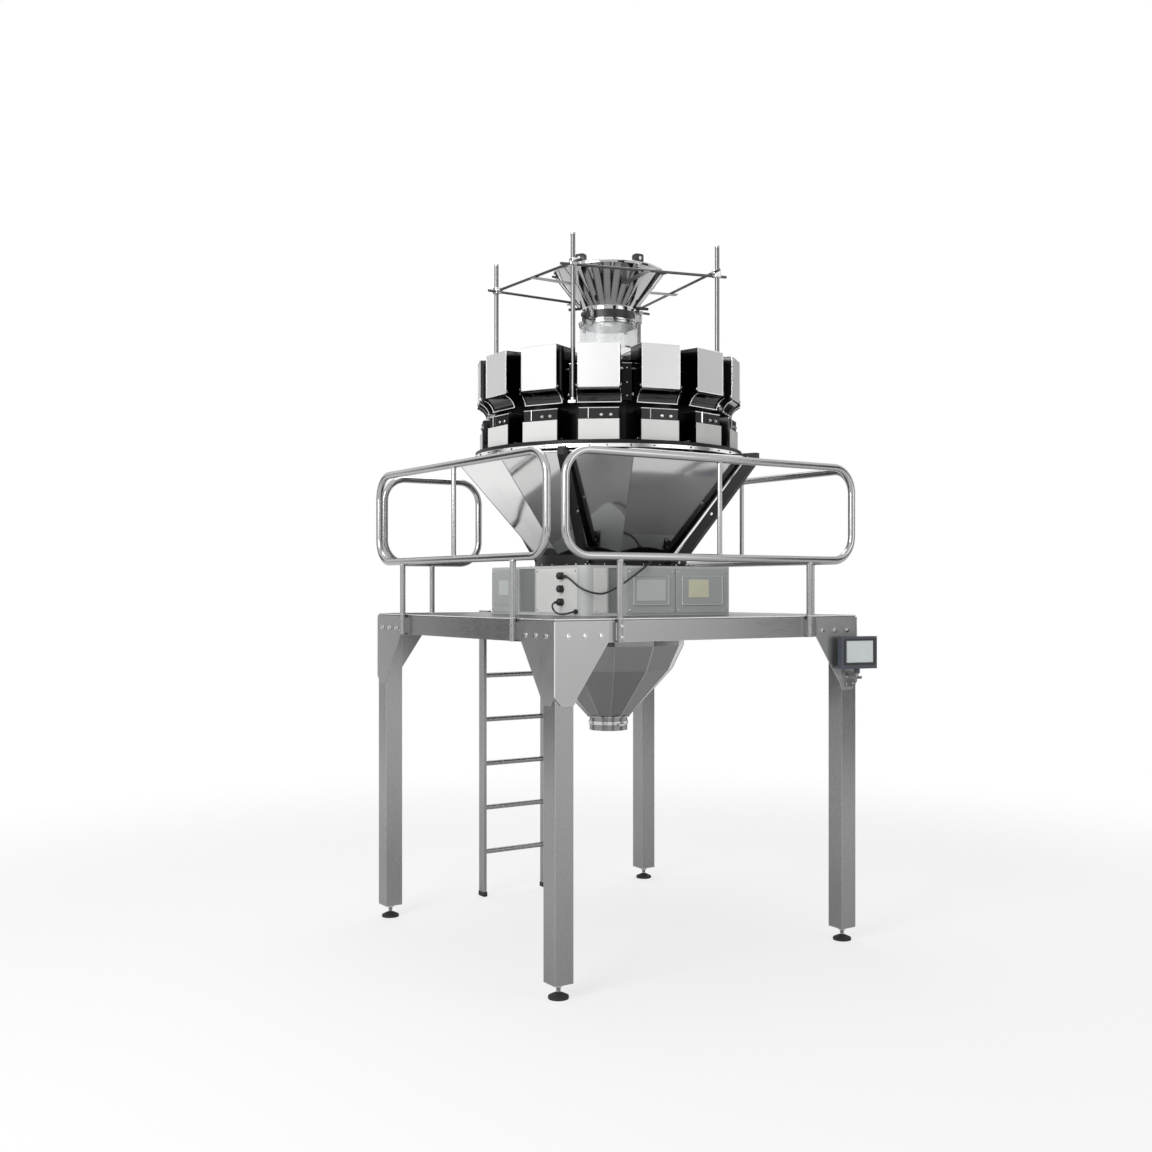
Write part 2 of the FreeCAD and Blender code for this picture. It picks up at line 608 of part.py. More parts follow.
def base_cabinet():
    """Square housing with rounded upright corners, a product opening and recessed bands."""
    body = new_body("base_cabinet")
    half = "size.cabinet_side / 2"
    height = "size.cabinet_top - size.deck_top"
    housing = box_pad(body, "housing", "XY_Plane", centred(half, half), "size.deck_top", height)
    doc.recompute()
    uprights = [
        f"Edge{index}" for index, edge in enumerate(housing.Shape.Edges, start=1)
        if abs(edge.tangentAt(edge.FirstParameter).z) > 0.99
    ]
    corners = body.newObject("PartDesign::Fillet", "rounded_corners")
    corners.Base = (housing, uprights)
    corners.setExpression("Radius", "size.cabinet_corner")
    opening = add_circle(new_sketch(body, "opening_outline", "XY_Plane", "size.deck_top"), ("0", "0"),
                         "size.cabinet_hole_radius")
    pocket(body, "opening", opening, height, back=True)
    low, high = "size.deck_top + size.band_margin", "size.cabinet_top - size.band_margin"
    front_band = rectangle("-size.front_band_from", low, "-size.front_band_to", high)
    side_band = rectangle("-size.left_band_front", low, "size.left_band_back", high)
    box_cut(body, "front_band", "XZ_Plane", front_band, half, "size.recess_depth")
    box_cut(body, "left_band", "YZ_Plane", side_band, f"-{half}", "size.recess_depth", back=True)


def cabinet_covers():
    """Shallow cover boxes screwed on the faces, each with a raised inner field."""
    body = new_body("cabinet_covers")
    half, margin = "size.cabinet_side / 2", "size.field_margin"
    low, high = "size.deck_top + size.band_margin", "size.cabinet_top - size.band_margin"
    for name, plane, start, end, back in COVERS:
        offset = f"-{half}" if back else half
        box_pad(body, name, plane, rectangle(str(start), low, str(end), high), offset,
                "size.cover_proud", back=back)
        raised = rectangle(f"{start} + {margin}", f"{low} + {margin}", f"{end} - {margin}",
                           f"{high} - {margin}")
        box_pad(body, name + "_field", plane, raised, offset, "size.cover_proud + size.field_proud",
                back=back)


def cable_glands():
    """Three glands one above the other on the left panel, and the small ones where the cables end."""
    body = new_body("cable_glands")
    half, out, across = "-size.cabinet_side / 2", "size.gland_out", "-size.gland_from_mid"
    for index, height in enumerate(GLAND_HEIGHTS, start=1):
        place = (across, str(height))
        rod(body, f"gland_{index}", "YZ_Plane", place, "size.gland_radius", half, f"{out} * 0.6", back=True)
        rod(body, f"cap_{index}", "YZ_Plane", place, "size.gland_radius * 0.74", half, out, back=True)
    x, _, z = SIGNAL_CABLE[0]
    rod(body, "elbow", "XZ_Plane", (str(x), str(z)), "size.elbow_radius", "size.gland_from_mid",
        "size.gland_out - 2")
    _, y, z = POWER_LEAD[-1]
    rod(body, "lead_grommet", "YZ_Plane", (str(y), str(z)), "12", half, f"{out} / 2 - 1", back=True)


def collar_gland():
    """Small gland on the collar, where the signal cable goes in."""
    body = new_body("collar_gland")
    x, y, z = SIGNAL_CABLE[-1]
    rod(body, "gland", "XZ_Plane", (str(x), str(z)), "14", str(-y - 2), "9", back=True)


def collar_ring():
    """Black collar with a flange below and an inner ledge, on which the collecting cone stands."""
    body = new_body("collar_ring")
    outer, low, seat = "size.collar_radius", "size.cabinet_top", "size.cone_bottom"
    wall, flange, ledge = "size.collar_wall", "size.collar_flange", "size.collar_ledge"
    mouth = "size.cone_bottom_radius * cos(180 deg / size.cone_sides) - 10"
    profile = [
        (f"{outer} - {wall}", low), (f"{outer} + {flange}", low),
        (f"{outer} + {flange}", f"{low} + {flange}"), (outer, f"{low} + {flange}"), (outer, seat),
        (mouth, seat), (mouth, f"{seat} - {ledge}"),
        (f"{outer} - {wall}", f"{seat} - {ledge}"),
    ]
    turn(body, "collar", add_outline(new_sketch(body, "collar_profile", "XZ_Plane"), profile))


def support_arms():
    """Leaning arms outside the cone, from the cabinet top up to the ring frame."""
    arms = []
    foot = "size.collar_radius + 14"
    for gap in ARM_GAPS:
        at_corner = gap % 2 == 1
        reach = "size.cone_top_radius + 20" if at_corner else "size.cone_top_radius - 55"
        body = new_body(f"support_arm_{gap}", node=False)
        outline = [
            (foot, "size.cabinet_top"), (f"{foot} + size.arm_foot", "size.cabinet_top"),
            (f"{foot} + size.arm_foot", "size.cabinet_top + size.arm_width"),
            (f"{reach} + size.arm_depth", "size.cone_top - size.arm_depth / 2"),
            (f"{reach} + size.arm_depth", "size.ring_bottom"),
            ("size.ring_inner_radius - 8", "size.ring_bottom"),
            ("size.ring_inner_radius - 8", "size.ring_bottom - 13"), (reach, "size.ring_bottom - 13"),
            (foot, "size.cabinet_top + size.arm_depth"),
        ]
        box_pad(body, "arm", "XZ_Plane", outline, "0", "size.arm_width", midplane=True)
        arms.append(turned(body, (gap + 0.5) * PITCH))
    group("support_arms", arms)


def collecting_cone():
    """Seven flat sheets folded into a cone, open above and below."""
    body = new_body("collecting_cone")
    steps = (("size.cone_bottom", "size.cone_bottom_radius"), ("size.cone_top", "size.cone_top_radius"))
    folded_shell(body, steps, int(value("size.cone_sides")), 90, "size.cone_sheet")


def discharge_funnel():
    """Many-sided funnel under the deck: upright, then tapering in two steps to the spout."""
    body = new_body("discharge_funnel")
    steps = (
        ("size.deck_top", "size.funnel_top_radius"), ("size.funnel_shoulder", "size.funnel_shoulder_radius"),
        ("size.funnel_waist", "size.funnel_waist_radius"), ("size.spout_top", "size.spout_radius + 14"),
    )
    folded_shell(body, steps, int(value("size.funnel_sides")), 0, "size.funnel_sheet")


def discharge_spout():
    """Round spout under the funnel, which a bagging machine's forming tube takes."""
    body = new_body("discharge_spout")
    outer = "size.spout_radius"
    profile = [
        (f"{outer} - 5", "size.spout_bottom"), (outer, "size.spout_bottom"), (outer, "size.spout_top - 6"),
        (f"{outer} + 14", "size.spout_top - 6"), (f"{outer} + 14", "size.spout_top"),
        (f"{outer} - 5", "size.spout_top"),
    ]
    turn(body, "spout", add_outline(new_sketch(body, "spout_profile", "XZ_Plane"), profile))


# --- weighing heads -----------------------------------------------------------------------------

def ring_frame():
    """Hub plate under the drum, spokes between the hoppers and the dark outer rim."""
    body = new_body("ring_frame")
    low = "size.ring_bottom"
    hub = new_sketch(body, "hub_outline", "XY_Plane", low)
    add_circle(hub, ("0", "0"), "size.drum_radius - 4")
    pad(body, "hub", hub, "size.plate_thick")
    opening = add_circle(new_sketch(body, "hub_opening", "XY_Plane", low), ("0", "0"),
                         "size.drum_radius - 110")
    pocket(body, "opening", opening, "size.plate_thick", back=True)
    rim_profile = rectangle("size.ring_inner_radius", low, "size.ring_radius", "size.ring_top")
    turn(body, "rim", add_outline(new_sketch(body, "rim_profile", "XZ_Plane"), rim_profile))
    for index in range(HEADS):
        spoke = new_sketch(body, f"spoke_{index + 1}_outline", "XY_Plane", low)
        angle = f"({index} + 0.5) * 360 / size.heads * 1 deg"
        along, across = (f"cos({angle})", f"sin({angle})"), (f"-sin({angle})", f"cos({angle})")
        corners = (("size.drum_radius - 20", "-1"), ("size.ring_inner_radius + 10", "-1"),
                   ("size.ring_inner_radius + 10", "1"), ("size.drum_radius - 20", "1"))
        add_outline(spoke, [
            tuple(f"({radial}) * {a} + {side} * size.spoke_width / 2 * {b}" for a, b in zip(along, across))
            for radial, side in corners
        ])
        pad(body, f"spoke_{index + 1}", spoke, "size.plate_thick")


def drum_body():
    """Fourteen-sided housing of the drives, behind the hoppers."""
    body = new_body("drum_body")
    corner = "size.drum_radius / cos(180 deg / size.heads)"
    outline = new_sketch(body, "drum_outline", "XY_Plane", "size.drum_bottom")
    add_outline(outline, regular_polygon(corner, HEADS, "180 / size.heads"))
    pad(body, "drum", outline, "size.drum_top - size.drum_bottom")
    doc.recompute()
    top, rise = "size.drum_top", "size.feeder_base_height"
    cap = [("0", top), ("size.feeder_base_radius", top),
           (f"size.feeder_base_radius - {rise}", f"{top} + {rise}"), ("0", f"{top} + {rise}")]
    turn(body, "feeder_base", add_outline(new_sketch(body, "feeder_base_profile", "XZ_Plane"), cap))


def against_the_drum(half_width):
    """Two points and the ridge between them, where a piece of some width meets a corner of the drum."""
    ridge = "size.drum_radius / cos(180 deg / size.heads)"
    flank = f"{ridge} - {half_width} * tan(180 deg / size.heads)"
    return [(flank, half_width), (ridge, "0"), (flank, f"-{half_width}")]


def drive_modules():
    """Wedge-shaped drive covers in the gaps between the heads."""
    body = new_body("drive_modules")
    wedge = against_the_drum("14") + [("size.drive_face", "-24"), ("size.drive_face", "24")]
    module = box_pad(body, "module", "XY_Plane", wedge, "size.drive_bottom",
                     "size.drive_top - size.drive_bottom")
    round_the_axis(body, [module], "size.heads")
    turned(body, PITCH / 2)


def hopper_brackets():
    """Plates on the drum that carry the feed hoppers, and the load cell arms of the weigh hoppers."""
    body = new_body("hopper_brackets")
    half = "size.bracket_width / 2"
    upper = box_pad(body, "feed_bracket", "XZ_Plane",
                    rectangle("size.drum_radius", "size.bracket_low", "size.hopper_back",
                              "size.bracket_low + size.bracket_height"), "0",
                    "size.bracket_width", midplane=True)
    lower = box_pad(body, "load_cell_arm", "XZ_Plane",
                    rectangle("size.drum_radius", "size.load_arm_low", "size.weigh_back",
                              "size.load_arm_low + size.bracket_height"), "0",
                    half, midplane=True)
    round_the_axis(body, [upper, lower], "size.heads")


def feed_hoppers():
    """Fourteen bins, open above and below, with a notch for the pan and pins for the gate."""
    body = new_body("feed_hoppers")
    wall, back, face = "size.hopper_sheet", "size.hopper_back", "size.hopper_face"
    top, mouth = "size.hopper_top", "size.hopper_mouth"
    outer = [(back, top), (back, "size.hopper_knee"), ("size.hopper_mouth_radial", mouth), (face, mouth),
             (face, top)]
    inner = [(f"{back} + {wall}", f"{top} + 1"), (f"{back} + {wall}", f"size.hopper_knee + {wall} / 2"),
             (f"size.hopper_mouth_radial + {wall} * 1.3", f"{mouth} - 1"),
             (f"{face} - {wall}", f"{mouth} - 1"), (f"{face} - {wall}", f"{top} + 1")]
    notch = rectangle(f"{back} - 1", "size.pan_slot_floor", f"{back} + {wall} + 1", f"{top} + 1")
    features = [
        box_pad(body, "shell", "XZ_Plane", outer, "0", "size.hopper_width", midplane=True),
        box_cut(body, "inside", "XZ_Plane", inner, "0", f"size.hopper_width - 2 * {wall}", midplane=True),
        box_cut(body, "pan_notch", "XZ_Plane", notch, "0", "size.pan_slot_width", midplane=True),
    ]
    sweep = add_circle(new_sketch(body, "gate_sweep", "XZ_Plane"),
                       ("size.gate_centre_radial", "size.gate_centre_height"),
                       "size.gate_curve_radius + size.gate_play")
    features.append(pocket(body, "gate_clearance", sweep, "size.hopper_width + 2", midplane=True))
    reach = "size.gate_play + size.gate_sheet + 3"
    for name, offset in (("left_pin", "size.hopper_width / 2 - 1"),
                         ("right_pin", f"-size.hopper_width / 2 - ({reach})")):
        features.append(rod(body, name, "XZ_Plane", ("size.pivot_radial", "size.pivot_height"),
                            "size.pivot_pin_radius", offset, f"{reach} + 1"))
    round_the_axis(body, features, "size.heads")


def feed_gate(index):
    """A curved gate under one feed hopper, hung by its two cheeks on the hopper's pins."""
    body = new_body(f"feed_gate_{index + 1:02d}")
    centre = ("size.gate_centre_radial", "size.gate_centre_height")
    pivot = ("size.pivot_radial", "size.pivot_height")
    curve, thick = "size.gate_curve_radius", "size.gate_sheet"
    inside = "size.hopper_width / 2 + size.gate_play"
    width = f"2 * ({inside} + {thick})"
    plate = add_band(new_sketch(body, "plate_section", "XZ_Plane"), centre, f"{curve} - {thick}", curve,
                     "size.gate_edge_angle", "size.gate_lip_angle")
    pad(body, "plate", plate, width, midplane=True)
    lip = add_band(new_sketch(body, "lip_section", "XZ_Plane"), centre,
                   f"{curve} - {thick} - size.gate_lip_reach", f"{curve} - {thick} / 2",
                   "size.gate_lip_angle - 2", "size.gate_lip_angle")
    pad(body, "lip", lip, width, midplane=True)
    for side, offset in (("left", inside), ("right", f"-({inside}) - {thick}")):
        cheek = add_band(new_sketch(body, f"{side}_cheek_outline", "XZ_Plane", offset), centre,
                         f"{curve} - {thick} - 6", f"{curve} + 12", "size.gate_edge_angle - 4",
                         "size.gate_lip_angle")
        pad(body, f"{side}_cheek", cheek, thick)
        rod(body, f"{side}_eye", "XZ_Plane", pivot, "size.gate_boss_radius", offset, thick)
    bore = add_circle(new_sketch(body, "bore_section", "XZ_Plane"), pivot,
                      "size.pivot_pin_radius + size.pivot_play")
    pocket(body, "bore", bore, f"{width} + 4", midplane=True)
    turned(body, index * PITCH)


def weigh_hoppers():
    """Fourteen weighing bins, open above, closed by their flaps below, each behind a front panel."""
    body = new_body("weigh_hoppers")
    wall = "size.hopper_sheet"
    back, face = "size.weigh_back", "size.weigh_face"
    outer = [
        (back, "size.weigh_top"), (back, "size.weigh_shoulder"), (f"{back} + 32", "size.weigh_floor"),
        (f"{face} - 32", "size.weigh_floor"), (face, "size.weigh_shoulder"), (face, "size.weigh_top"),
    ]
    inner = [
        (f"{back} + {wall}", "size.weigh_top + 1"), (f"{back} + {wall}", "size.weigh_shoulder"),
        (f"{back} + 32 + {wall} / 2", f"size.weigh_floor + {wall}"),
        (f"{face} - 32 - {wall} / 2", f"size.weigh_floor + {wall}"),
        (f"{face} - {wall}", "size.weigh_shoulder"), (f"{face} - {wall}", "size.weigh_top + 1"),
    ]
    shell = box_pad(body, "shell", "XZ_Plane", outer, "0", "size.weigh_width", midplane=True)
    panel = box_pad(body, "front_panel", "XZ_Plane",
                    rectangle(f"{face} - 1", "size.panel_bottom", f"{face} + size.panel_proud",
                              "size.panel_top"), "0", "size.panel_width", midplane=True)
    inside = box_cut(body, "inside", "XZ_Plane", inner, "0", f"size.weigh_width - 2 * {wall}",
                     midplane=True)
    round_the_axis(body, [shell, panel, inside], "size.heads")


def feeder_pans():
    """Fourteen vibrating troughs from the dispersion cone to the hoppers."""
    body = new_body("feeder_pans")
    half, low, high = "size.pan_width / 2", "size.pan_floor", "size.pan_floor + size.pan_height"
    wall = "size.pan_sheet"
    trough = [
        (f"-{half}", high), (f"-{half}", low), (half, low), (half, high), (f"{half} - {wall}", high),
        (f"{half} - {wall}", f"{low} + {wall}"), (f"-{half} + {wall}", f"{low} + {wall}"),
        (f"-{half} + {wall}", high),
    ]
    pan = box_pad(body, "trough", "YZ_Plane", trough, "size.pan_inner", "size.pan_outer - size.pan_inner")
    block = rectangle("-size.vibrator_width / 2", "size.drum_top", "size.vibrator_width / 2", low)
    block = box_pad(body, "vibrator", "YZ_Plane", block, "size.pan_inner + size.vibrator_width * 2 / 3",
                    "size.vibrator_length")
    round_the_axis(body, [pan, block], "size.heads")


def dispersion_cone():
    """Shallow cone that spreads the product to the pans."""
    body = new_body("dispersion_cone")
    foot, disc = "size.drum_top + size.feeder_base_height", "size.pan_floor + 30"
    profile = [
        ("0", foot), ("size.cone_foot_radius", foot), ("size.cone_foot_radius", disc),
        ("size.cone_disc_radius", disc), ("size.cone_disc_radius", f"{disc} + 6"), ("0", f"{disc} + 90"),
    ]
    turn(body, "cone", add_outline(new_sketch(body, "cone_profile", "XZ_Plane"), profile))


# --- infeed -------------------------------------------------------------------------------------

def clear_tube():
    body = new_body("clear_tube")
    profile = rectangle("size.tube_radius - size.tube_wall", "size.tube_bottom", "size.tube_radius",
                        "size.tube_top")
    turn(body, "tube", add_outline(new_sketch(body, "tube_profile", "XZ_Plane"), profile))


def infeed_neck():
    """Steel band between the funnel and the clear tube, with the flange that carries the tube."""
    body = new_body("infeed_neck")
    outer, wall = "size.neck_radius", "size.infeed_sheet"
    profile = [
        (f"{outer} - {wall}", "size.neck_bottom"), (outer, "size.neck_bottom"), (outer, "size.tube_top"),
        ("size.tube_radius + 6", "size.tube_top"), ("size.tube_radius + 6", "size.tube_top + 5"),
        (outer, "size.tube_top + 5"), (outer, "size.neck_top"), (f"{outer} - {wall}", "size.neck_top"),
    ]
    turn(body, "neck", add_outline(new_sketch(body, "neck_profile", "XZ_Plane"), profile))


def infeed_funnel():
    """Open funnel with a rolled rim, on the neck."""
    body = new_body("infeed_funnel")
    low, high = "size.neck_radius", "size.infeed_top_radius"
    wall = "size.infeed_sheet"
    profile = [
        (f"{low} - {wall}", "size.neck_top"), (low, "size.neck_top"), (high, "size.infeed_top"),
        (f"{high} + 6", "size.infeed_top"), (f"{high} + 6", "size.infeed_top + size.rim_height"),
        (f"{high} - {wall}", "size.infeed_top + size.rim_height"), (f"{high} - {wall}", "size.infeed_top"),
    ]
    turn(body, "funnel", add_outline(new_sketch(body, "funnel_profile", "XZ_Plane"), profile))


def support_posts():
    """Four upright rods, each on a bracket plate that stands out from the drum between two heads."""
    posts = []
    for gap, reach in POSTS:
        body = new_body(f"support_post_{gap}", node=False)
        rod(body, "post", "XY_Plane", (str(reach), "0"), "size.post_radius", "size.post_foot",
            "size.post_top - size.post_foot")
        end = f"{reach} + size.post_radius * 5 / 3"
        plate = against_the_drum("20") + [(end, "-20"), (end, "20")]
        box_pad(body, "foot", "XY_Plane", plate, "size.post_foot - size.plate_thick", "size.plate_thick")
        posts.append(turned(body, (gap + 0.5) * PITCH))
    group("support_posts", posts)


def post_place(index):
    gap, reach = POSTS[index % len(POSTS)]
    angle = math.radians((gap + 0.5) * PITCH)
    return Vector(math.cos(angle), math.sin(angle), 0) * reach


def cross_rods():
    """Four level rods clamped beside the posts, which close a frame round the infeed funnel."""
    rods = []
    over, beside = value("size.rod_over"), value("size.rod_radius + size.post_radius")
    for index in range(len(POSTS)):
        start, end = post_place(index), post_place(index + 1)
        along = (end - start).normalize()
        inward = Vector(0, 0, 1).cross(along)
        height = value("size.rod_height") + (index % 2) * 2 * value("size.rod_radius")
        cylinder = doc.addObject("Part::Cylinder", f"cross_rod_{index + 1}")
        cylinder.setExpression("Radius", "size.rod_radius")
        cylinder.Height = (end - start).Length + 2 * over
        base = start - along * over + inward * beside + Vector(0, 0, height)
        cylinder.Placement = Placement(base, Rotation(Vector(0, 0, 1), along))
        rods.append(cylinder)
    group("cross_rods", rods)


def funnel_brackets():
    """Flat arms from the funnel out to the cross rods, coped to the funnel's side."""
    arms = []
    for index in range(len(POSTS)):
        middle = (post_place(index) + post_place(index + 1)) * 0.5
        funnel = doc.addObject("Part::Cone", f"funnel_form_{index + 1}")
        funnel.setExpression("Radius1", "size.neck_radius")
        funnel.setExpression("Radius2", "size.infeed_top_radius")
        funnel.setExpression("Height", "size.infeed_top - size.neck_top")
        funnel.setExpression("Placement.Base.z", "size.neck_top")
        bar = doc.addObject("Part::Box", f"funnel_bar_{index + 1}")
        bar.Length = middle.Length + value("size.rod_radius")
        bar.setExpression("Width", "size.arm_width")
        bar.Height = 6
        heading = math.degrees(math.atan2(middle.y, middle.x))
        direction = Rotation(Vector(0, 0, 1), heading)
        low = value("size.rod_height") + (index % 2 * 2 - 1) * value("size.rod_radius") - 6
        side = direction.multVec(Vector(0, -value("size.arm_width") / 2, 0))
        bar.Placement = Placement(side + Vector(0, 0, low), direction)
        arm = doc.addObject("Part::Cut", f"funnel_arm_{index + 1}")
        arm.Base, arm.Tool = bar, funnel
        arms.append(arm)
    group("funnel_brackets", arms)


def level_sensors():
    """Two small boxes on the funnel's rim."""
    body = new_body("level_sensors")
    for name, degrees in (("near", 205), ("far", 268)):
        angle = f"{degrees} * 1 deg"
        along, across = (f"cos({angle})", f"sin({angle})"), (f"-sin({angle})", f"cos({angle})")
        near, far = "size.infeed_top_radius - 22", "size.infeed_top_radius + 18"
        outline = [tuple(f"({radial}) * {a} + {side} * size.sensor_half * {b}"
                         for a, b in zip(along, across))
                   for radial, side in ((near, -1), (far, -1), (far, 1), (near, 1))]
        box_pad(body, f"{name}_box", "XY_Plane", outline, "size.infeed_top + size.rim_height",
                "size.sensor_height")


# --- operator's screen and cables ---------------------------------------------------------------

def screen_bracket():
    """Bracket on the right front gusset with the upright swivel pin of the screen."""
    body = new_body("screen_bracket")
    face = "-size.deck_side / 2 - size.gusset_sheet"
    low = "size.screen_middle - size.screen_height / 2 - 40"
    plate = rectangle("size.screen_x - 36", f"{face} - 8", "size.screen_x + 36", face)
    box_pad(body, "plate", "XY_Plane", plate, f"{low} - 60", "80")
    arm = rectangle("size.screen_x - 18", "-size.screen_y - 18", "size.screen_x + 18", f"{face} - 7")
    box_pad(body, "arm", "XY_Plane", arm, f"{low} - 14", "14")
    rod(body, "pin", "XY_Plane", ("size.screen_x", "-size.screen_y"), "size.swivel_pin_radius", low, "40")


def screen_housing():
    """Touch screen in a shallow housing, turned a little to the side on its swivel."""
    body = new_body("screen_housing")
    half, depth = "size.screen_width / 2", "size.screen_depth"
    low = "size.screen_middle - size.screen_height / 2"
    outline = rectangle(f"-{half}", f"-{depth} / 2 - 4", half, f"{depth} / 2 - 4")
    shell = box_pad(body, "shell", "XY_Plane", outline, low, "size.screen_height")
    doc.recompute()
    rim = body.newObject("PartDesign::Fillet", "rounded_rim")
    rim.Base = (shell, [
        f"Edge{index}" for index, edge in enumerate(shell.Shape.Edges, start=1)
        if abs(edge.tangentAt(edge.FirstParameter).z) > 0.99
    ])
    rim.Radius = 6
    glass = rectangle("-size.glass_half", "size.screen_middle - size.glass_down", "size.glass_half",
                      "size.screen_middle + size.glass_up")
    box_cut(body, "glass_field", "XZ_Plane", glass, f"{depth} / 2 + 4", "1.5")
    foot, pin = f"{low} - size.socket_height", "size.swivel_pin_radius"
    socket = add_circle(new_sketch(body, "socket_section", "XY_Plane", foot), ("0", "0"), f"{pin} + 7")
    pad(body, "socket", socket, "size.socket_height")
    bore = add_circle(new_sketch(body, "bore_section", "XY_Plane", foot), ("0", "0"),
                      f"{pin} + size.pivot_play")
    pocket(body, "bore", bore, "size.socket_height + 4", back=True)
    body.Placement = Placement(
        Vector(value("size.screen_x"), -value("size.screen_y"), 0),
        Rotation(Vector(0, 0, 1), -value("size.screen_turn")),
    )


def smooth_path(points):
    """Straight runs joined by tangent arcs, each as large as its two runs allow."""
    edges, radii, here = [], [], points[0]
    for before, corner, after in zip(points, points[1:], points[2:]):
        back, ahead = (before - corner), (after - corner)
        shorter = min(back.Length, ahead.Length)
        bend = math.pi - back.getAngle(ahead)
        trim = 0.45 * shorter
        radii.append(trim / math.tan(bend / 2))
        back.normalize()
        ahead.normalize()
        start, end = corner + back * trim, corner + ahead * trim
        centre = corner + (back + ahead).normalize() * (radii[-1] / math.cos(bend / 2))
        middle = centre + (corner - centre).normalize() * radii[-1]
        edges.append(Part.LineSegment(here, start).toShape())
        edges.append(Part.Arc(start, middle, end).toShape())
        here = end
    edges.append(Part.LineSegment(here, points[-1]).toShape())
    return Part.Wire(edges), radii


def cable(label, radius, places):
    """A free cable swept along its route."""
    points = [Vector(*place) for place in places]
    path, radii = smooth_path(points)
    circle = Part.Circle(points[0], points[1] - points[0], radius)
    solid = path.makePipeShell([Part.Wire(circle.toShape())], True, False)
    feature = doc.addObject("Part::Feature", label)
    feature.Shape = solid
    NODES.append(feature)
    ideal = math.pi * radius ** 2 * path.Length
    print(f"{label}: length {path.Length:.1f}, volume ratio {solid.Volume / ideal:.4f}, "
          f"radii {[round(r) for r in radii]}")


# Routes of the two free cables, from end to end.
SIGNAL_CABLE = (
    (-503, -315, 1945), (-504, -345, 1943), (-508, -392, 1929), (-513, -440, 1907), (-511, -482, 1886),
    (-490, -514, 1868), (-450, -527, 1856), (-395, -526, 1852),
    (-330, -516, 1872), (-270, -513, 1901), (-210, -512, 1935), (-152, -510, 1971), (-98, -500, 2003),
    (-54, -476, 2024), (-28, -440, 2032), (-18, -412, 2032),
)
POWER_LEAD = (
    (-518, -285, 1810), (-538, -285, 1807), (-556, -296, 1793), (-560, -312, 1772), (-556, -338, 1754),
    (-548, -372, 1748), (-536, -400, 1751), (-515, -418, 1760), (-500, -420, 1763),
)

platform_legs()
levelling_feet()
gusset_plates()
edge_beams()
deck_joists()
deck_plate()
guard_rails()
access_ladder()
base_cabinet()
cabinet_covers()
cable_glands()
collar_gland()
collar_ring()
support_arms()
collecting_cone()
discharge_funnel()
discharge_spout()
ring_frame()
drum_body()
drive_modules()
hopper_brackets()
feed_hoppers()
for head in range(HEADS):
    feed_gate(head)
weigh_hoppers()
feeder_pans()
dispersion_cone()
clear_tube()
infeed_neck()
infeed_funnel()
support_posts()
cross_rods()
funnel_brackets()
level_sensors()
screen_bracket()
screen_housing()
cable("signal_cable", 5, SIGNAL_CABLE)
cable("power_lead", 4.5, POWER_LEAD)

doc.recompute()
for item in doc.Objects:
    if "Invalid" in item.State or "Error" in item.State:
        raise RuntimeError(f"{item.Label} did not build: {item.State}")
os.makedirs("parts", exist_ok=True)
for node in NODES:
    shape = node.Shape
    if shape.isNull() or not shape.isValid() or not shape.Solids:
        raise RuntimeError(f"{node.Label} has no valid solid")
    shape.exportStep(os.path.join("parts", f"{node.Label}.step"))
print(len(NODES), "nodes written")
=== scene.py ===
"""A fourteen-head weigher on its working platform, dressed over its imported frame. Metres, +Z up."""

import math

import bmesh
import bpy
from mathutils import Matrix, Vector


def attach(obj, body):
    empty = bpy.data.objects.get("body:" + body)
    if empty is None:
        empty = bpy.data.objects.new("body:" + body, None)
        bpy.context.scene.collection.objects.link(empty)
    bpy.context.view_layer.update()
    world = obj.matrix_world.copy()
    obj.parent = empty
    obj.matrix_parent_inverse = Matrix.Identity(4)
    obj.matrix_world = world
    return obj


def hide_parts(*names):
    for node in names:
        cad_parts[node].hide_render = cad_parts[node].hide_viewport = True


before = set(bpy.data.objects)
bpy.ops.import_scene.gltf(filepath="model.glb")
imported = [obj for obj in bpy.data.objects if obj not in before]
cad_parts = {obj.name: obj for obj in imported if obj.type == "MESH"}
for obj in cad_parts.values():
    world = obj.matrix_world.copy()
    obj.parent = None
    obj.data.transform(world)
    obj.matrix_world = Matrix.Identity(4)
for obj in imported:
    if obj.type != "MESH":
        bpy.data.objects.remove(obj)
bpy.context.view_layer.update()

HEADS = 14
PITCH = 2 * math.pi / HEADS
POSTS = ((1, 0.632), (5, 0.628), (8, 0.625), (11, 0.662))
ARM_GAPS = (1, 4, 8, 11)
DECK_TOP = 1.740
DECK_HALF = 0.950
GUSSET_FACE = DECK_HALF + 0.006
CABINET_HALF = 0.485


# --- placing ------------------------------------------------------------------------------------

def moved(x, y, z):
    return Matrix.Translation((x, y, z))


def turned(angle, axis="Z"):
    return Matrix.Rotation(angle, 4, axis)


def facing(point, outward, up=(0, 0, 1)):
    """Local Z looks outward from the point, and local Y is as near to up as it can be."""
    out = Vector(outward).normalized()
    side = Vector(up).cross(out)
    if side.length < 1e-4:
        side = Vector((1, 0, 0)).cross(out) if abs(out.x) < 0.9 else Vector((0, 1, 0)).cross(out)
    side.normalize()
    rotation = Matrix((side, out.cross(side), out)).transposed().to_4x4()
    return Matrix.Translation(Vector(point)) @ rotation


def head_place(head):
    """The frame of a weighing head: X outward from the weigher's axis."""
    return turned(head * PITCH)


def on_four_sides():
    return [turned(side * math.pi / 2) for side in range(4)]


# --- forms --------------------------------------------------------------------------------------

